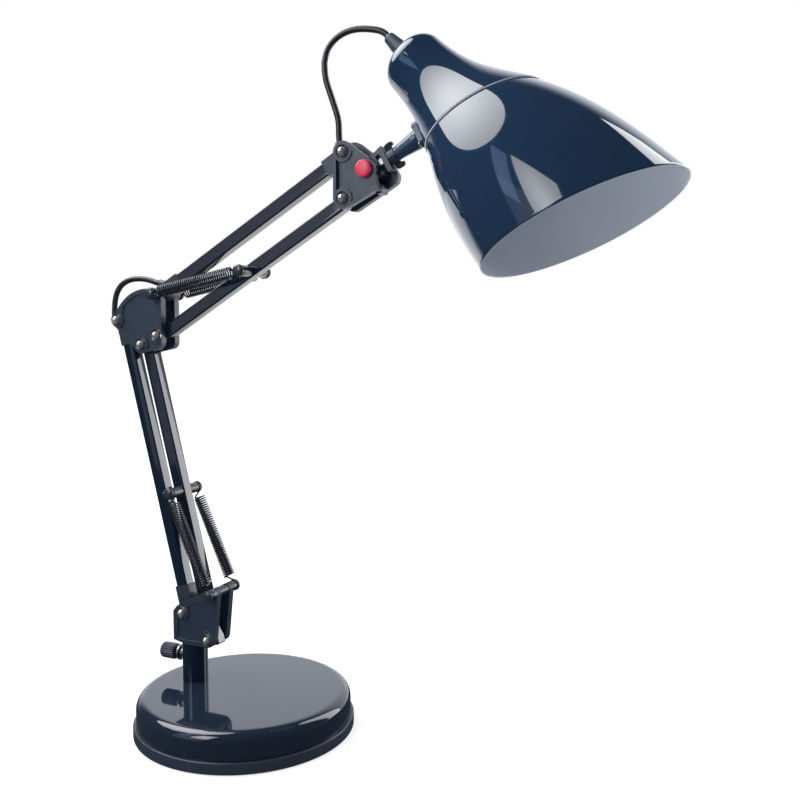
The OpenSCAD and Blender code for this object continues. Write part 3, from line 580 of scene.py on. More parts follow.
def refine(
    node: str,
    edge: Optional[Edge],
    finish: Optional[Finish] = None,
    reshape: Optional[Callable[[bpy.types.Mesh], None]] = None,
) -> bpy.types.Object:
    """A finished copy of a CAD node: merged, with its edges broken and evenly shaded.

    Args:
        node: the CAD node, which the copy stands for.
        edge: how its edges are broken, or None where they stay as the CAD cuts them.
        finish: its finish, where that isn't its slot's.
        reshape: what moves the copy's points, if anything does.

    Returns:
        The copy, riding on the node's body.
    """
    source = frame["nodes"][node]
    slot = source.data.materials[0].name
    work = bmesh.new()
    work.from_mesh(source.data)
    bmesh.ops.remove_doubles(work, verts=work.verts, dist=MERGE_M)
    if edge:
        bmesh.ops.dissolve_limit(
            work, angle_limit=math.radians(FLAT_DEG), verts=work.verts, edges=work.edges,
            delimit={"NORMAL"},
        )
    mesh = bpy.data.meshes.new(f"{node}_finished")
    work.to_mesh(mesh)
    work.free()
    if reshape:
        reshape(mesh)
    if "custom_normal" in mesh.attributes:
        mesh.attributes.remove(mesh.attributes["custom_normal"])
    piece = shaded(f"{node}_finished", mesh, CRISP_DEG)
    if edge:
        bevel = piece.modifiers.new("broken_edges", "BEVEL")
        bevel.width, bevel.segments = edge.width * MM, edge.steps
        bevel.limit_method, bevel.angle_limit = "ANGLE", math.radians(edge.least_deg)
        bevel.harden_normals = False
    even = piece.modifiers.new("even_shading", "WEIGHTED_NORMAL")
    even.keep_sharp = True
    return dress(piece, [finish or FINISH_OF[slot]], source["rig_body"], [node])


# ------------------------------------------------------------------ camera and light


@dataclass(frozen=True)
class PhotoCamera:
    """The camera of the photograph, solved together with the lamp's sizes.

    near_m and far_m bound what it sees, in metres.
    """

    place_mm: tuple[float, float, float] = (401.245, -595.343, 316.688)
    pitch_down_deg: float = 4.928
    heading_deg: float = 24.25
    lens_mm: float = 41.92
    sensor_mm: float = 36.0
    near_m: float = 0.02
    far_m: float = 20.0

    def build(self) -> None:
        """Makes the camera the scene's own."""
        camera = bpy.data.objects.new("camera", bpy.data.cameras.new("camera"))
        camera.data.lens, camera.data.sensor_width = self.lens_mm, self.sensor_mm
        camera.data.clip_start, camera.data.clip_end = self.near_m, self.far_m
        camera.location = np.array(self.place_mm) * MM
        camera.rotation_euler = (
            math.radians(90 - self.pitch_down_deg), 0.0, math.radians(self.heading_deg)
        )
        bpy.context.scene.collection.objects.link(camera)
        bpy.context.scene.camera = camera


def heading(azimuth_deg: float, elevation_deg: float) -> Vec:
    """The unit direction at an azimuth from -Y towards +X and an elevation from level."""
    az, el = math.radians(azimuth_deg), math.radians(elevation_deg)
    return np.array([math.sin(az) * math.cos(el), -math.cos(az) * math.cos(el), math.sin(el)])


class Outline(Enum):
    """A softbox's outline, with the share of its width by height that it fills."""

    RECTANGLE = 1.0
    ELLIPSE = math.pi / 4


@dataclass(frozen=True)
class Softbox:
    """A softbox, placed by where its reflection has to fall on the gloss of the lamp.

    Angles and spans are degrees as seen from the point that it aims at, and the
    radiance is that of its middle, where a lit white is 1. It falls to edge_share
    of that at edge_at of its width and height from the middle.
    """

    name: str
    azimuth: float
    elevation: float
    span: tuple[float, float]
    radiance: float
    colour: str = "#FFFFFF"
    edge_share: float = 0.6
    distance: float = 1.5
    outline: Outline = Outline.RECTANGLE
    aim: tuple[float, float, float] = (0.25, -0.07, 0.40)
    edge_at: float = 0.6

    def build(self) -> None:
        """Makes the area light: a side is twice the distance times the half span's tangent.

        Its power is its radiance times pi times its area.
        """
        light = bpy.data.lights.new(self.name, "AREA")
        sides = [2 * self.distance * math.tan(math.radians(span / 2)) for span in self.span]
        light.shape, light.size, light.size_y = self.outline.name, *sides
        light.energy = self.radiance * math.pi * self.outline.value * sides[0] * sides[1]
        light.color = linear(self.colour)[:3]
        light.use_nodes = True
        self.hot_middle(light.node_tree)
        lamp = bpy.data.objects.new(self.name, light)
        way = heading(self.azimuth, self.elevation)
        lamp.location = np.array(self.aim) + self.distance * way
        lamp.rotation_euler = Vector(way).to_track_quat("Z", "Y").to_euler()
        lamp.visible_camera = False
        bpy.context.scene.collection.objects.link(lamp)

    def hot_middle(self, tree: bpy.types.NodeTree) -> None:
        """The bulb behind the cloth: full strength in the middle, edge_share at the rim.

        Args:
            tree: the light's nodes.
        """
        tree.nodes.clear()
        across = add(tree, "ShaderNodeNewGeometry").outputs["Parametric"]
        off = add(
            tree,
            "ShaderNodeVectorMath",
            {"operation": "DISTANCE", 1: (0.5, 0.5, 0.0)},
            {0: across},
        ).outputs["Value"]
        strength = add(
            tree,
            "ShaderNodeMapRange",
            {"interpolation_type": "SMOOTHSTEP", "From Min": 0.0, "From Max": self.edge_at,
             "To Min": 1.0, "To Max": self.edge_share},
            {"Value": off},
        ).outputs["Result"]
        glow = add(tree, "ShaderNodeEmission", {}, {"Strength": strength})
        add(tree, "ShaderNodeOutputLight", {}, {"Surface": glow.outputs[0]})


@dataclass(frozen=True)
class Studio:
    """A white surround for the camera, a backdrop and floor in gloss, and soft lights.

    backdrop_way points to the lit backdrop. In gloss it shows from a share of
    backdrop_from along that way up to backdrop_full, and the floor from
    floor_from metres along floor_way up to floor_full, where its strength is
    floor_glow. What gloss shows elsewhere has the strength dark. To the camera
    the floor glows with white_least near the lamp, within white_from metres,
    and is plain white from white_full on, so that only the shadow shows.
    """

    ambient: float = 0.42
    backdrop_way: tuple[float, float, float] = (-0.25, 0.97, 0.0)
    backdrop_from: float = 0.5
    backdrop_full: float = 0.8
    backdrop: float = 1.25
    dark: float = 0.04
    floor_way: tuple[float, float, float] = (0.1, 1.0, 0.0)
    floor_from: float = 0.25
    floor_full: float = 0.6
    floor_glow: float = 1.6
    half_floor: float = 15.0
    floor_colour: str = "#B0B3B8"
    ambient_colour: str = "#F0F5FF"
    white_from: float = 0.2
    white_full: float = 1.2
    white_least: float = 0.68

    def build(self) -> None:
        """Makes the world, the floor and the softboxes."""
        self.world()
        self.floor()
        for box in (
            Softbox(
                "left_softbox", -86.0, 46.0, (50.0, 53.0), 7.8, outline=Outline.ELLIPSE
            ),
            Softbox("front_softbox", -27.0, 21.0, (20.0, 36.0), 6.8, distance=1.1),
            Softbox("cool_window", -47.5, 24.0, (9.0, 26.0), 2.1, "#A6C6F2", 0.8, 1.2),
            Softbox("low_sheet", -36.0, 2.0, (32.0, 36.0), 0.65, "#F4F7FF", 0.6, 1.3),
            Softbox("right_rear_softbox", 145.0, 20.0, (25.0, 69.0), 4.6, "#FFFFFF", 0.9, 1.3),
        ):
            box.build()

    def world(self) -> None:
        """White to camera and through glass; in gloss the backdrop behind, dark in front."""
        world = bpy.data.worlds.new("studio")
        bpy.context.scene.world = world
        world.use_nodes = True
        tree = world.node_tree
        tree.nodes.clear()
        way = add(tree, "ShaderNodeTexCoord").outputs["Generated"]
        gloss = self.behind(
            tree, way, self.backdrop_way, self.backdrop_from, self.backdrop_full, self.backdrop
        )
        rays = add(tree, "ShaderNodeLightPath").outputs
        shown = add(
            tree, "ShaderNodeMix", {"data_type": "FLOAT", 2: self.ambient},
            {0: rays["Is Glossy Ray"], 3: gloss},
        ).outputs[0]
        white = add(
            tree, "ShaderNodeMath", {"operation": "MAXIMUM"},
            {0: rays["Is Camera Ray"], 1: rays["Is Transmission Ray"]},
        ).outputs[0]
        strength = add(
            tree, "ShaderNodeMix", {"data_type": "FLOAT", 3: 1.0}, {0: white, 2: shown}
        ).outputs[0]
        tint = add(
            tree, "ShaderNodeMix",
            {"data_type": "RGBA", 6: linear(self.ambient_colour), 7: (1, 1, 1, 1)}, {0: white},
        ).outputs[2]
        glow = add(tree, "ShaderNodeBackground", {}, {"Color": tint, "Strength": strength})
        add(tree, "ShaderNodeOutputWorld", {}, {"Surface": glow.outputs[0]})

    def behind(
        self, tree: bpy.types.NodeTree, where: bpy.types.NodeSocket,
        way: tuple[float, float, float], start: float, full: float, most: float,
    ) -> bpy.types.NodeSocket:
        """The glow behind the lamp in gloss: a smooth step along a way, from dark to most.

        Args:
            tree: the nodes of the world or the floor.
            where: the direction or place that is lit.
            way: the way along which it is measured.
            start: the measure at which the glow begins.
            full: the measure from which it is full.
            most: its full strength.

        Returns:
            The socket of the strength.
        """
        along = add(
            tree, "ShaderNodeVectorMath", {"operation": "DOT_PRODUCT", 1: way}, {0: where}
        ).outputs["Value"]
        return add(
            tree,
            "ShaderNodeMapRange",
            {"interpolation_type": "SMOOTHSTEP", "From Min": start, "From Max": full,
             "To Min": self.dark, "To Max": most},
            {"Value": along},
        ).outputs["Result"]

    def floor(self) -> None:
        """A matt floor, white to the camera with the lamp's shadow on it.

        In gloss it is the lit sheet behind the lamp, and dark in front of it.
        """
        across = np.linspace(-self.half_floor, self.half_floor, 3) / MM
        grid = np.stack(np.meshgrid(across, across, [0.0], indexing="ij"), -1)[:, :, 0]
        floor = surface("floor", grid, closed_columns=False)
        paper = bpy.data.materials.new("white_paper_floor")
        paper.use_nodes = True
        tree = paper.node_tree
        tree.nodes.clear()
        place = add(tree, "ShaderNodeTexCoord").outputs["Object"]
        matt = add(tree, "ShaderNodeBsdfDiffuse", {"Color": linear(self.floor_colour)})
        far = add(
            tree, "ShaderNodeVectorMath", {"operation": "LENGTH"}, {0: place}
        ).outputs["Value"]
        lift = add(
            tree,
            "ShaderNodeMapRange",
            {"interpolation_type": "SMOOTHSTEP", "From Min": self.white_from,
             "From Max": self.white_full, "To Min": self.white_least, "To Max": 1.0},
            {"Value": far},
        ).outputs["Result"]
        rays = add(tree, "ShaderNodeLightPath").outputs
        seen = add(
            tree, "ShaderNodeMath", {"operation": "MULTIPLY"}, {0: rays["Is Camera Ray"], 1: lift}
        ).outputs[0]
        white = add(tree, "ShaderNodeEmission", {}, {"Strength": seen})
        plain = add(
            tree, "ShaderNodeAddShader", {}, {0: matt.outputs[0], 1: white.outputs[0]}
        )
        sheet = add(
            tree, "ShaderNodeEmission", {},
            {"Strength": self.behind(tree, place, self.floor_way, self.floor_from,
                                     self.floor_full, self.floor_glow)},
        )
        both = add(
            tree, "ShaderNodeMixShader", {},
            {0: rays["Is Glossy Ray"], 1: plain.outputs[0], 2: sheet.outputs[0]},
        )
        add(tree, "ShaderNodeOutputMaterial", {}, {"Surface": both.outputs[0]})
        floor.data.materials.append(paper)


# ------------------------------------------------------------------ cords


@dataclass(frozen=True)
class Cord:
    """A loop of the lamp's own cord between two outlets, on one smooth route.

    The route is in millimetres, and each of its spans is cut into so many steps.
    """

    name: str
    route: tuple[tuple[float, float, float], ...]
    bodies: tuple[str, str]
    node: str
    diameter: float = 4.5
    steps_a_span: int = 6
    sides: int = 20

    def build(self) -> None:
        path = through(np.array(self.route), self.steps_a_span)
        piece = tube(self.name, path, self.diameter / 2, self.sides, np.array([0.0, 1.0, 0.0]))
        dress(piece, [CORD_PVC], "", [self.node])
        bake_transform(piece)


CORDS = (
    Cord(
        "elbow_cord_loop",
        ((-116.35, 0, 315.3), (-119.49, 0, 318.53), (-120, 0, 324), (-119, 0, 332.5),
         (-116, 0, 340), (-110.5, 0, 345.5), (-102.5, 0, 348.5), (-92.5, 0, 349),
         (-83.5, 0, 347.6), (-78.53, 0, 346.15), (-74.15, 0, 345.1)),
        ("elbow bracket", "top bar"), "elbow_cord",
    ),
    Cord(
        "head_cord_rise",
        ((86.2, 0, 441.4), (85.85, 0, 445.9), (85.4, 0, 456), (82.4, 0, 466.5),
         (78.4, 0, 477.5), (75, 0.4, 488), (73.8, 1.2, 498)),
        ("head bracket", "knuckle"), "head_cord",
    ),
    Cord(
        "head_cord_fall",
        ((73.8, 1.2, 498), (75.8, 2.2, 507), (81.4, 3.4, 514), (89.4, 4.6, 518.2),
         (98.6, 5.6, 519.4), (107.6, 6.4, 518.4), (117.99, 7.01, 514.77),
         (121.2, 6.634, 511.63)),
        ("knuckle", "shade"), "head_cord",
    ),
)


# ------------------------------------------------------------------ springs


class Side(Enum):
    """The side of the arm that a spring hangs on, by the sign of its Y."""

    NEAR = -1
    FAR = 1


@dataclass(frozen=True)
class ExtensionSpring:
    """A close-wound extension spring with a full hook round the pin at each end.

    Lengths are millimetres. A hook runs from hook_from to hook_to degrees round its
    pin. The wire between hook and coil leaves the one with hook_pull and meets the
    other with coil_pull, the lengths of its cubic's end slopes, and coil_lean is
    how far its slope at the coil leans along the spring.
    """

    arm: str
    pins: tuple[str, str]
    bodies: tuple[str, str]
    side: Side
    turns: int
    plane_y: float = 16.3
    outer_d: float = 9.5
    wire_d: float = 1.3
    hook_len: float = 8.4
    groove_r: float = 2.5
    slack: float = 0.3
    hook_from: float = 40.0
    hook_to: float = 330.0
    hook_pull: float = 9.0
    coil_pull: float = 7.0
    coil_lean: float = 0.06
    hook_steps: int = 40
    lead_steps: int = 12
    steps_a_turn: int = 18
    sides: int = 10

    def centreline(self, span: float) -> tuple[Vec, Vec]:
        """The wire's line along X between pins at 0 and span, with a direction across it.

        A hook is an arc round its pin in the XZ plane, the coil a helix about X,
        and a cubic with matching slopes leads from one to the other.

        Args:
            span: how far apart the pins are, in millimetres.

        Returns:
            The line's points, and at each one a direction that is never along it.
        """
        r = (self.outer_d - self.wire_d) / 2
        centre = r - self.groove_r - self.wire_d / 2 - self.slack
        a = np.radians(np.linspace(self.hook_from, self.hook_to, self.hook_steps))
        hook = np.stack([centre + r * np.cos(a), 0 * a, r * np.sin(a)], -1)
        pitch = (span - 2 * self.hook_len) / self.turns
        t = np.linspace(0, 2 * np.pi * self.turns, self.turns * self.steps_a_turn + 1)
        coil = np.stack(
            [self.hook_len + pitch * t / (2 * np.pi), -r * np.sin(t), r * np.cos(t)], -1
        )
        slope_a = np.array([-math.sin(a[-1]), 0, math.cos(a[-1])]) * self.hook_pull
        slope_b = np.array([self.coil_lean, -1, 0]) * self.coil_pull
        u = np.linspace(0, 1, self.lead_steps)[1:-1, None]
        lead = (
            (2 * u**3 - 3 * u**2 + 1) * hook[-1] + (u**3 - 2 * u**2 + u) * slope_a
            + (3 * u**2 - 2 * u**3) * coil[0] + (u**3 - u**2) * slope_b
        )
        start = np.vstack([hook, lead])
        mirrored = start[::-1] * [-1, -1, 1] + [span, 0, 0]
        path = np.vstack([start, coil, mirrored])
        share = np.concatenate([np.zeros(len(hook)), u[:, 0], np.ones(len(coil)),
                                u[::-1, 0], np.zeros(len(hook))])[:, None]
        across = share * np.array([1.0, 0, 0]) + (1 - share) * np.array([0, 1.0, 0])
        return path, across

    def build(self) -> None:
        """Makes the spring between its two pins."""
        a, b = (middle_of(pin)[[0, 2]] for pin in self.pins)
        reach = b - a
        span = float(np.linalg.norm(reach))
        place = Placement().moved(a[0], self.side.value * self.plane_y, a[1])
        place = place.turned(Axis.Y, -math.degrees(math.atan2(reach[1], reach[0])))
        path, across = self.centreline(span)
        node = f"{self.arm}_spring_{self.side.name.lower()}"
        piece = tube(
            f"{node}_wound", place.points(path), self.wire_d / 2, self.sides,
            across @ place.turn.T,
        )
        dress(piece, [SPRING_WIRE], "", [node])
        ends = place.points(np.array([[self.hook_len, 0, 0], [span - self.hook_len, 0, 0]]))
        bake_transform(piece)


SPRINGS = tuple(
    ExtensionSpring(arm, pins, bodies, side, turns)
    for arm, pins, bodies, turns in (
        ("lower", ("lower_spring_pin", "arm_spring_pin"), ("swivel bracket", "front bar"), 38),
        ("upper", ("elbow_spring_pin", "upper_spring_pin"), ("elbow bracket", "bottom bar"), 33),
    )
    for side in Side
)


# ------------------------------------------------------------------ shade


@dataclass(frozen=True)
class Shade:
    """The flared shade: a spun neck over a spun bowl, each cut on a slant.

    Lengths are millimetres, and stations are distances along the axis from the
    cable gland's tip. swell, narrowing and handle place the two inner corners of
    the flare's cubic, and the stem's foot is found on the cad_steps points that the
    CAD has of it. Angles and slants are degrees. The white begins so many rows of
    points past the middle of the rim, one count for the neck and one for the bowl:
    less than none on the neck, whose cut edge is painted white as a painted
    highlight where the rim catches the light.
    """

    pivot: tuple[float, float] = (111.500, 420.083)
    stem_rise: float = 28.5
    stem_reach: float = 44.9
    hang: float = 72.9
    turn: float = -5.0
    neck_r: float = 21.9
    mouth_r: float = 67.0
    length: float = 193.3
    flare_at: float = 91.4
    mouth_slant: float = 20.0
    seam_at: float = 92.5
    seam_slant: float = 17.0
    shoulder_r: float = 12.0
    neck_top: float = 17.2
    sheet: float = 1.0
    stem_station: float = 67.6
    neck_out: float = -0.5
    fit: float = 0.1
    overlap: float = 6.0
    swell: float = 3.2
    narrowing: float = 8.2
    handle: float = 1.0
    past_mouth: tuple[float, float] = (3.0, 40.0)
    gland_hole_r: float = 5.2
    rim_bulge: float = 1.4
    # The neck's white starts on its outer face: the cut edge is painted white as a painted
    # highlight
    neck_white_painted_highlight: int = -3
    bowl_white: int = 1
    cad_steps: int = 21
    fine_steps: int = 400
    solve_steps: int = 24
    top_rows: int = 5
    shoulder_rows: int = 24
    wall_rows: int = 90
    rim_rows: int = 7
    columns: int = 144

    def flare(self, u: Vec) -> Vec:
        """Radius and station on the flare's cubic curve.

        Args:
            u: how far along the curve, from 0 at the neck to 1 at the mouth.

        Returns:
            Radius and station at each u: four corners, weighted by the terms of the
            cube of (1 - u) plus u.
        """
        corners = np.array([
            [self.neck_r, self.neck_top + self.shoulder_r],
            [self.neck_r + self.swell, self.flare_at + self.handle],
            [self.mouth_r - self.narrowing, self.flare_at - self.handle],
            [self.mouth_r, self.length],
        ])
        weights = np.stack([(1 - u) ** 3, 3 * (1 - u) ** 2 * u, 3 * (1 - u) * u**2, u**3], -1)
        return weights @ corners

    def radius(self, station: Vec) -> Vec:
        """The profile's radius at a station, run on straight past the mouth."""
        wider, further = self.past_mouth
        past = [self.mouth_r + wider, self.length + further]
        line = np.vstack([self.flare(np.linspace(0, 1, self.fine_steps)), past])
        return np.interp(station, line[:, 1], line[:, 0])

    def placement(self) -> Placement:
        """The shade's own frame: axis along +Z, the stem's foot towards -X."""
        coarse = self.flare(np.linspace(0, 1, self.cad_steps))
        foot_r = float(np.interp(self.stem_station, coarse[:, 1], coarse[:, 0]))
        return (
            Placement()
            .moved(self.pivot[0], 0, self.pivot[1])
            .turned(Axis.Y, -self.stem_rise)
            .turned(Axis.X, self.turn)
            .moved(self.stem_reach, 0, 0)
            .turned(Axis.Y, 90 + self.hang)
            .moved(-foot_r, 0, -self.stem_station)
        )

    def slanted(self, station: float, slant: float, inset: float, angle: Vec) -> Vec:
        """Where the slanted plane cuts each meridian: station less x times its slope.

        The radius depends on the station, so the equation is solved by repeating it.

        Args:
            station: where the plane crosses the axis.
            slant: its slant in degrees.
            inset: how far inside the profile the meridians lie.
            angle: the meridians' angles.

        Returns:
            The cut's station on each meridian.
        """
        slope = math.tan(math.radians(slant))
        cut = np.full_like(angle, station)
        for _ in range(self.solve_steps):
            cut = station - (self.radius(cut) - inset) * np.cos(angle) * slope
        return cut

    def wall(
        self, out: float, starts: Optional[tuple[float, float]], ends: tuple[float, float]
    ) -> Grid:
        """The grid of a closed sheet-metal wall with rounded rims.

        Both faces follow the profile less their inset, between their slanted cuts.
        The neck's top is flat, then a quarter circle of the shoulder's radius, and
        the lower rim is half an ellipse from the outer face to the inner one.

        Args:
            out: how far its outer face lies inside the profile.
            starts: station and slant of its upper cut, or None for the domed neck top.
            ends: station and slant of its lower cut.

        Returns:
            Rows along the outer face, round the rim and back inside, by columns.
        """
        angle = np.linspace(0, 2 * np.pi, self.columns, endpoint=False)
        sides = []
        for inset in (out, out + self.sheet):
            low = self.slanted(*ends, inset, angle)
            if starts:
                high = self.slanted(*starts, inset, angle)
            else:
                high = np.full_like(angle, self.neck_top + self.shoulder_r)
            share = np.linspace(0, 1, self.wall_rows)[:, None]
            station = high + share * (low - high)
            radius = self.radius(station) - inset
            if not starts:
                bow = np.radians(np.linspace(-90, 0, self.shoulder_rows, endpoint=False))
                bow = bow[:, None]
                r = self.shoulder_r - inset
                hub = self.neck_r - self.shoulder_r
                flat = np.linspace(self.gland_hole_r, hub, self.top_rows, endpoint=False)
                top_r = np.vstack([flat[:, None], hub + r * np.cos(bow)])
                top_s = np.vstack([np.full((self.top_rows, 1), self.neck_top + inset),
                                   self.neck_top + self.shoulder_r + r * np.sin(bow)])
                radius = np.vstack([top_r + 0 * angle, radius])
                station = np.vstack([top_s + 0 * angle, station])
            sides.append((radius, station))
        (r_out, s_out), (r_in, s_in) = sides
        rim = np.linspace(0, np.pi, self.rim_rows)[1:-1, None]
        mid_r, mid_s = (r_out[-1] + r_in[-1]) / 2, (s_out[-1] + s_in[-1]) / 2
        half = self.sheet / 2
        rim_r = mid_r + half * np.cos(rim)
        rim_s = mid_s + half * self.rim_bulge * np.sin(rim)
        radius = np.vstack([r_out, rim_r, r_in[::-1]])
        station = np.vstack([s_out, rim_s, s_in[::-1]])
        return np.stack([radius * np.cos(angle), radius * np.sin(angle), station], -1)

    def build(self) -> None:
        """Makes neck and bowl: navy out, white in, the neck's cut edge a painted white highlight.
        """
        place = self.placement()
        bowl_out = self.neck_out + self.sheet + self.fit
        seam = (self.seam_at, self.seam_slant)
        for name, node, white_from, grid in (
            ("shade_neck_enamelled", "shade_neck", self.neck_white_painted_highlight,
             self.wall(self.neck_out, None, seam)),
            ("shade_bowl_enamelled", "shade_bowl", self.bowl_white,
             self.wall(bowl_out, (self.seam_at - self.overlap, self.seam_slant),
                       (self.length, self.mouth_slant))),
        ):
            piece = surface(name, place.points(grid), closed_rows=True, sharp_deg=60)
            rows = grid.shape[0]
            row = np.arange(rows).repeat(self.columns)
            # White lining inside, and on the neck also its cut edge, painted white as a painted
            # highlight
            inside = (row >= rows // 2 + white_from) & (row < rows - 1)
            piece.data.polygons.foreach_set("material_index", inside.astype(np.int32))
            dress(piece, [SHADE_ENAMEL, LINING_ENAMEL], "shade", [node])


# ------------------------------------------------------------------ thumbscrew


@dataclass(frozen=True)
class KnurledKnob:
    """The thumbscrew's knob: rounded ribs round a moulded drum with bevelled ends.

    Lengths are millimetres. The ribs have their full depth on the drum's side, and
    run out over its ends' bevels between fade_from inside its radius and fade_over
    further out.
    """

    face_x: float
    height: float = 49.2
    diameter: float = 12.8
    length: float = 13.8
    ribs: int = 22
    rib: float = 0.7
    fade_from: float = 1.4
    fade_over: float = 1.1
    steps_a_rib: int = 12

    def build(self) -> None:
        """Radius is the drum's less half a rib, plus half a rib times a cosine."""
        angle = np.linspace(0, 2 * np.pi, self.ribs * self.steps_a_rib, endpoint=False)
        r, end = self.diameter / 2, self.length
        # Radius and distance from the face at the boss, out to the dished outer end
        profile = np.array([
            [0.5, 0], [r - 1.4, 0], [r - 0.9, 0.15], [r - 0.3, 0.7], [r, 1.4],
            [r, end / 2], [r, end - 1.8], [r - 0.4, end - 0.9], [r - 1.3, end - 0.2],
            [r - 2.2, end], [r - 3.4, end], [r - 3.8, end - 0.5], [0.5, end - 0.5],
        ])
        share = np.clip((profile[:, 0] - r + self.fade_from) / self.fade_over, 0, 1)
        depth = share[:, None] * self.rib / 2
        radius = profile[:, :1] - depth + depth * np.cos(self.ribs * angle)
        grid = np.stack([
            self.face_x - profile[:, 1:] + 0 * angle,
            radius * np.cos(angle),
            self.height + radius * np.sin(angle),
        ], -1)
        piece = surface("thumb_knob_knurled", grid, capped=True, sharp_deg=50)
        dress(piece, [NYLON], "thumbscrew", ["thumb_knob"])


@dataclass(frozen=True)
class BoltCap:
    """The snap-on cap of the tilt bolt: a shallow dome with a rounded edge, facing -Y.

    Lengths are millimetres, and depths below the top are measured from the dome's
    middle: edge_below is where the rounding begins, crown_rise the dome's height.
    """

    node: str = "tilt_cap"
    width_share: float = 0.91
    foot: float = 0.3
    edge: float = 1.1
    edge_squash: float = 0.8
    edge_below: float = 1.4
    crown_in: float = 0.75
    crown_rise: float = 0.45
    axis_r: float = 0.1
    sides: int = 64

    def build(self) -> None:
        """Turns the profile about the node's axis, a little narrower than its box.

        A chamfered foot, a straight side, a squashed arc for the edge, and a dome
        that falls from its middle with the square of the distance.
        """
        low, high = (np.array(corner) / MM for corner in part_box(self.node))
        r, deep = (high[0] - low[0]) / 2 * self.width_share, high[1] - low[1]
        rim, bow = np.radians([0, 15, 30, 45, 60]), np.linspace(0, 1, 9)[1:-1]
        side_end = deep - self.edge_below
        profile = np.vstack([
            [[self.axis_r, 0], [r - self.foot, 0], [r, self.foot]],
            np.stack([r - self.edge * (1 - np.cos(rim)),
                      side_end + self.edge * np.sin(rim) * self.edge_squash], -1),
            np.stack([(r - self.crown_in) * (1 - bow),
                      deep - self.crown_rise * (1 - bow) ** 2], -1),
            [[self.axis_r, deep]],
        ])
        angle = np.linspace(0, 2 * np.pi, self.sides, endpoint=False)
        grid = np.stack([
            (low[0] + high[0]) / 2 + profile[:, :1] * np.cos(angle),
            high[1] - profile[:, 1:] + 0 * angle,
            (low[2] + high[2]) / 2 + profile[:, :1] * np.sin(angle),
        ], -1)
        piece = surface("tilt_cap_moulded", grid, capped=True)
        dress(piece, [CAP_RED], "head bracket", [self.node])


# ------------------------------------------------------------------ base


@dataclass(frozen=True)
class Base:
    """The round foot: enamelled cover, plastic skirt ring and foam pad.

    Lengths are millimetres. The pad lies pad_inset inside the ring's outer radius,
    and flat_share of its own radius carries one more ring of points.
    """

    skirt_r: float = 85.0
    pad_t: float = 2.0
    pad_inset: float = 7.0
    flat_share: float = 0.6
    axis_r: float = 1.0
    sides: int = 96

    def build(self) -> None:
        """Refines cover and ring, and makes the pad: a disc with a half-round edge."""
        refine("base_cover", None)
        refine("skirt_ring", CRISP_EDGE)
        angle = np.linspace(0, 2 * np.pi, self.sides, endpoint=False)
        bow = np.radians(np.linspace(-90, 90, 9))
        half = self.pad_t / 2
        edge = self.skirt_r - self.pad_inset
        inner = np.array([self.axis_r, edge * self.flat_share])
        radius = np.concatenate([inner, edge - half + half * np.cos(bow), inner[::-1]])
        z = np.concatenate([[0, 0], half + half * np.sin(bow), [self.pad_t, self.pad_t]])
        grid = np.stack([radius[:, None] * np.cos(angle), radius[:, None] * np.sin(angle),
                         z[:, None] + 0 * angle], -1)
        pad = surface("foot_pad_foam", grid, capped=True)
        dress(pad, [FOAM], "base", ["foot_pad"])


# ------------------------------------------------------------------ rivets


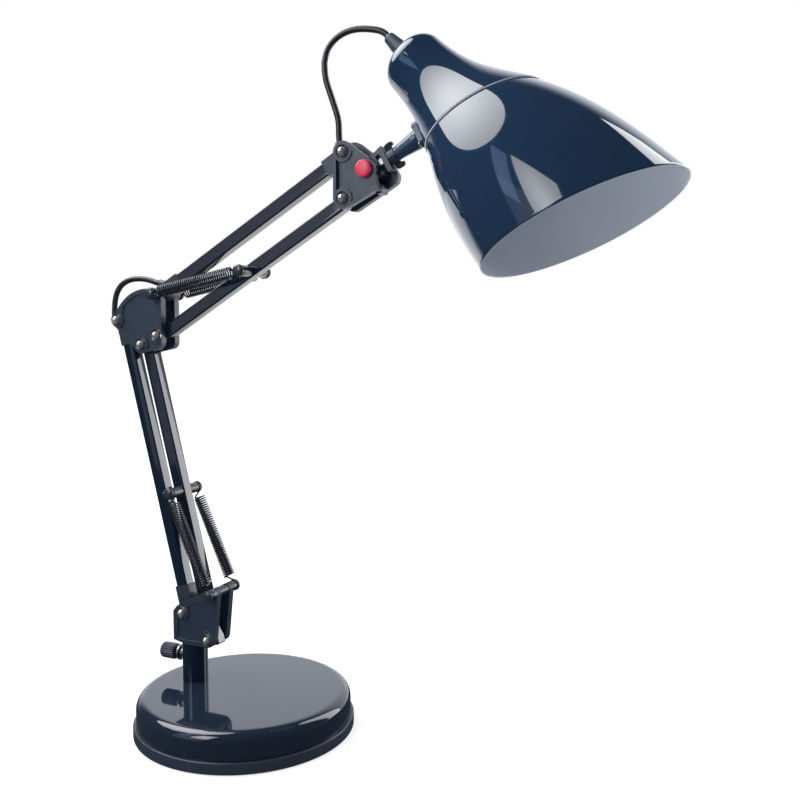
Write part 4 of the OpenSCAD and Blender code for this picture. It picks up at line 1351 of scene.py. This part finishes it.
@dataclass(frozen=True)
class CuppedRivets:
    """Pivot rivets whose small dome stands in a cupped washer, on both sides.

    The CAD's dome covers most of a flat washer. Lengths are millimetres:
    washer_face is its distance from the lamp's middle plane, dome_r the CAD's
    radius, of which dome_share is left, and close the reach for finding points.
    """

    nodes: tuple[str, ...] = ("lower_rivets", "elbow_rivets", "head_rivets")
    washer_face: float = 12.2
    dome_r: float = 3.8
    dome_share: float = 0.78
    cup_depth: float = 0.7
    close: float = 0.02

    def build(self) -> None:
        """Makes the rivets of the three brackets, with the cups' faces in dark pin steel as
        painted shade.
        """
        for node in self.nodes:
            piece = refine(node, None, None, self.cup)
            # The cups' faces take the dark pin steel: painted shade in the recess round each dome
            piece.data.materials.append(PIN_BLACK.material())

    def cup(self, mesh: bpy.types.Mesh) -> None:
        """Draws each dome in to its own axis, sinks its foot and marks the cup's faces for painted
        shade.

        A point belongs to the nearest axis, and an axis is the top of a dome. The
        cup's faces touch a dome's foot and don't rise above the washer's face.

        Args:
            mesh: the rivets' mesh, in metres, which is changed.
        """
        flat = np.empty(len(mesh.vertices) * 3, np.float32)
        mesh.vertices.foreach_get("co", flat)
        points = flat.reshape(-1, 3) / MM
        out = np.abs(points[:, 1])
        axes = points[out > out.max() - self.close][:, [0, 2]]
        off = points[:, None, [0, 2]] - axes
        near = np.linalg.norm(off, axis=-1).argmin(1)
        off = off[np.arange(len(points)), near]
        within = np.linalg.norm(off, axis=-1) < self.dome_r + self.close
        dome = within & (out > self.washer_face - self.close)
        foot = dome & (out < self.washer_face + self.close)
        points[:, [0, 2]] -= (1 - self.dome_share) * dome[:, None] * off
        points[:, 1] -= np.sign(points[:, 1]) * self.cup_depth * foot
        mesh.vertices.foreach_set("co", (points * MM).astype(np.float32).ravel())
        corners = np.empty(len(mesh.loops), np.int32)
        starts = np.empty(len(mesh.polygons), np.int32)
        mesh.loops.foreach_get("vertex_index", corners)
        mesh.polygons.foreach_get("loop_start", starts)
        low = np.maximum.reduceat(out[corners], starts) < self.washer_face + self.close
        # The cup's faces, which get painted shade
        cup = np.logical_or.reduceat(foot[corners], starts) & low
        mesh.polygons.foreach_set("material_index", cup.astype(np.int32))


# Pieces that keep the CAD's shape: moulded ones get a soft edge and machined ones a
# crisp edge, and the edges of the others stay as the CAD cuts them
MOULDED = (
    "lower_block", "lower_plate_near", "lower_plate_far", "elbow_plate_near",
    "elbow_plate_far", "head_plate_near", "head_plate_far", "head_block", "knuckle",
    "wing_nut", "rear_bar_ends", "top_bar_ends", "front_bar_plugs", "bottom_bar_plugs",
)
MACHINED = ("tilt_nut", "stem_bolt", "bottom_plate", "clamp_boss")
AS_CUT = (
    "lower_spring_pin", "arm_spring_pin",
    "elbow_spring_pin", "upper_spring_pin", "elbow_spacer", "tilt_bolt",
    "front_bar", "rear_bar", "bottom_bar", "top_bar", "post_tube", "swivel_spigot",
    "cable_grommet", "shade_gland", "gland_nipple", "shade_bolts",
    "lampholder_body", "lampholder_thread", "lampholder_contact", "ballast", "post_bush",
    "post_bolt", "base_screws",
)


def main() -> None:
    """Builds the studio, then the lamp's sub-assemblies in order."""
    logging.basicConfig(level=logging.INFO, format="%(message)s")
    bpy.context.scene.view_settings.view_transform = "Standard"
    PhotoCamera().build()
    for cord in CORDS:
        cord.build()
    Studio().build()
    Base().build()
    KnurledKnob(face_x=float(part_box("thumb_knob")[1][0]) / MM).build()
    for node in MOULDED:
        refine(node, MOULDED_EDGE)
    for node in MACHINED:
        refine(node, CRISP_EDGE)
    for node in AS_CUT:
        refine(node, None)
    refine("thumb_screw", None, PIN_BLACK)
    refine("stem", None, SATIN_COAT_WITH_PAINTED_HIGHLIGHT)
    refine("shade_bracket", CRISP_EDGE, SATIN_COAT_WITH_PAINTED_HIGHLIGHT)
    BoltCap().build()
    CuppedRivets().build()
    for spring in SPRINGS:
        spring.build()
    Shade().build()


if __name__ == "__main__":
    main()
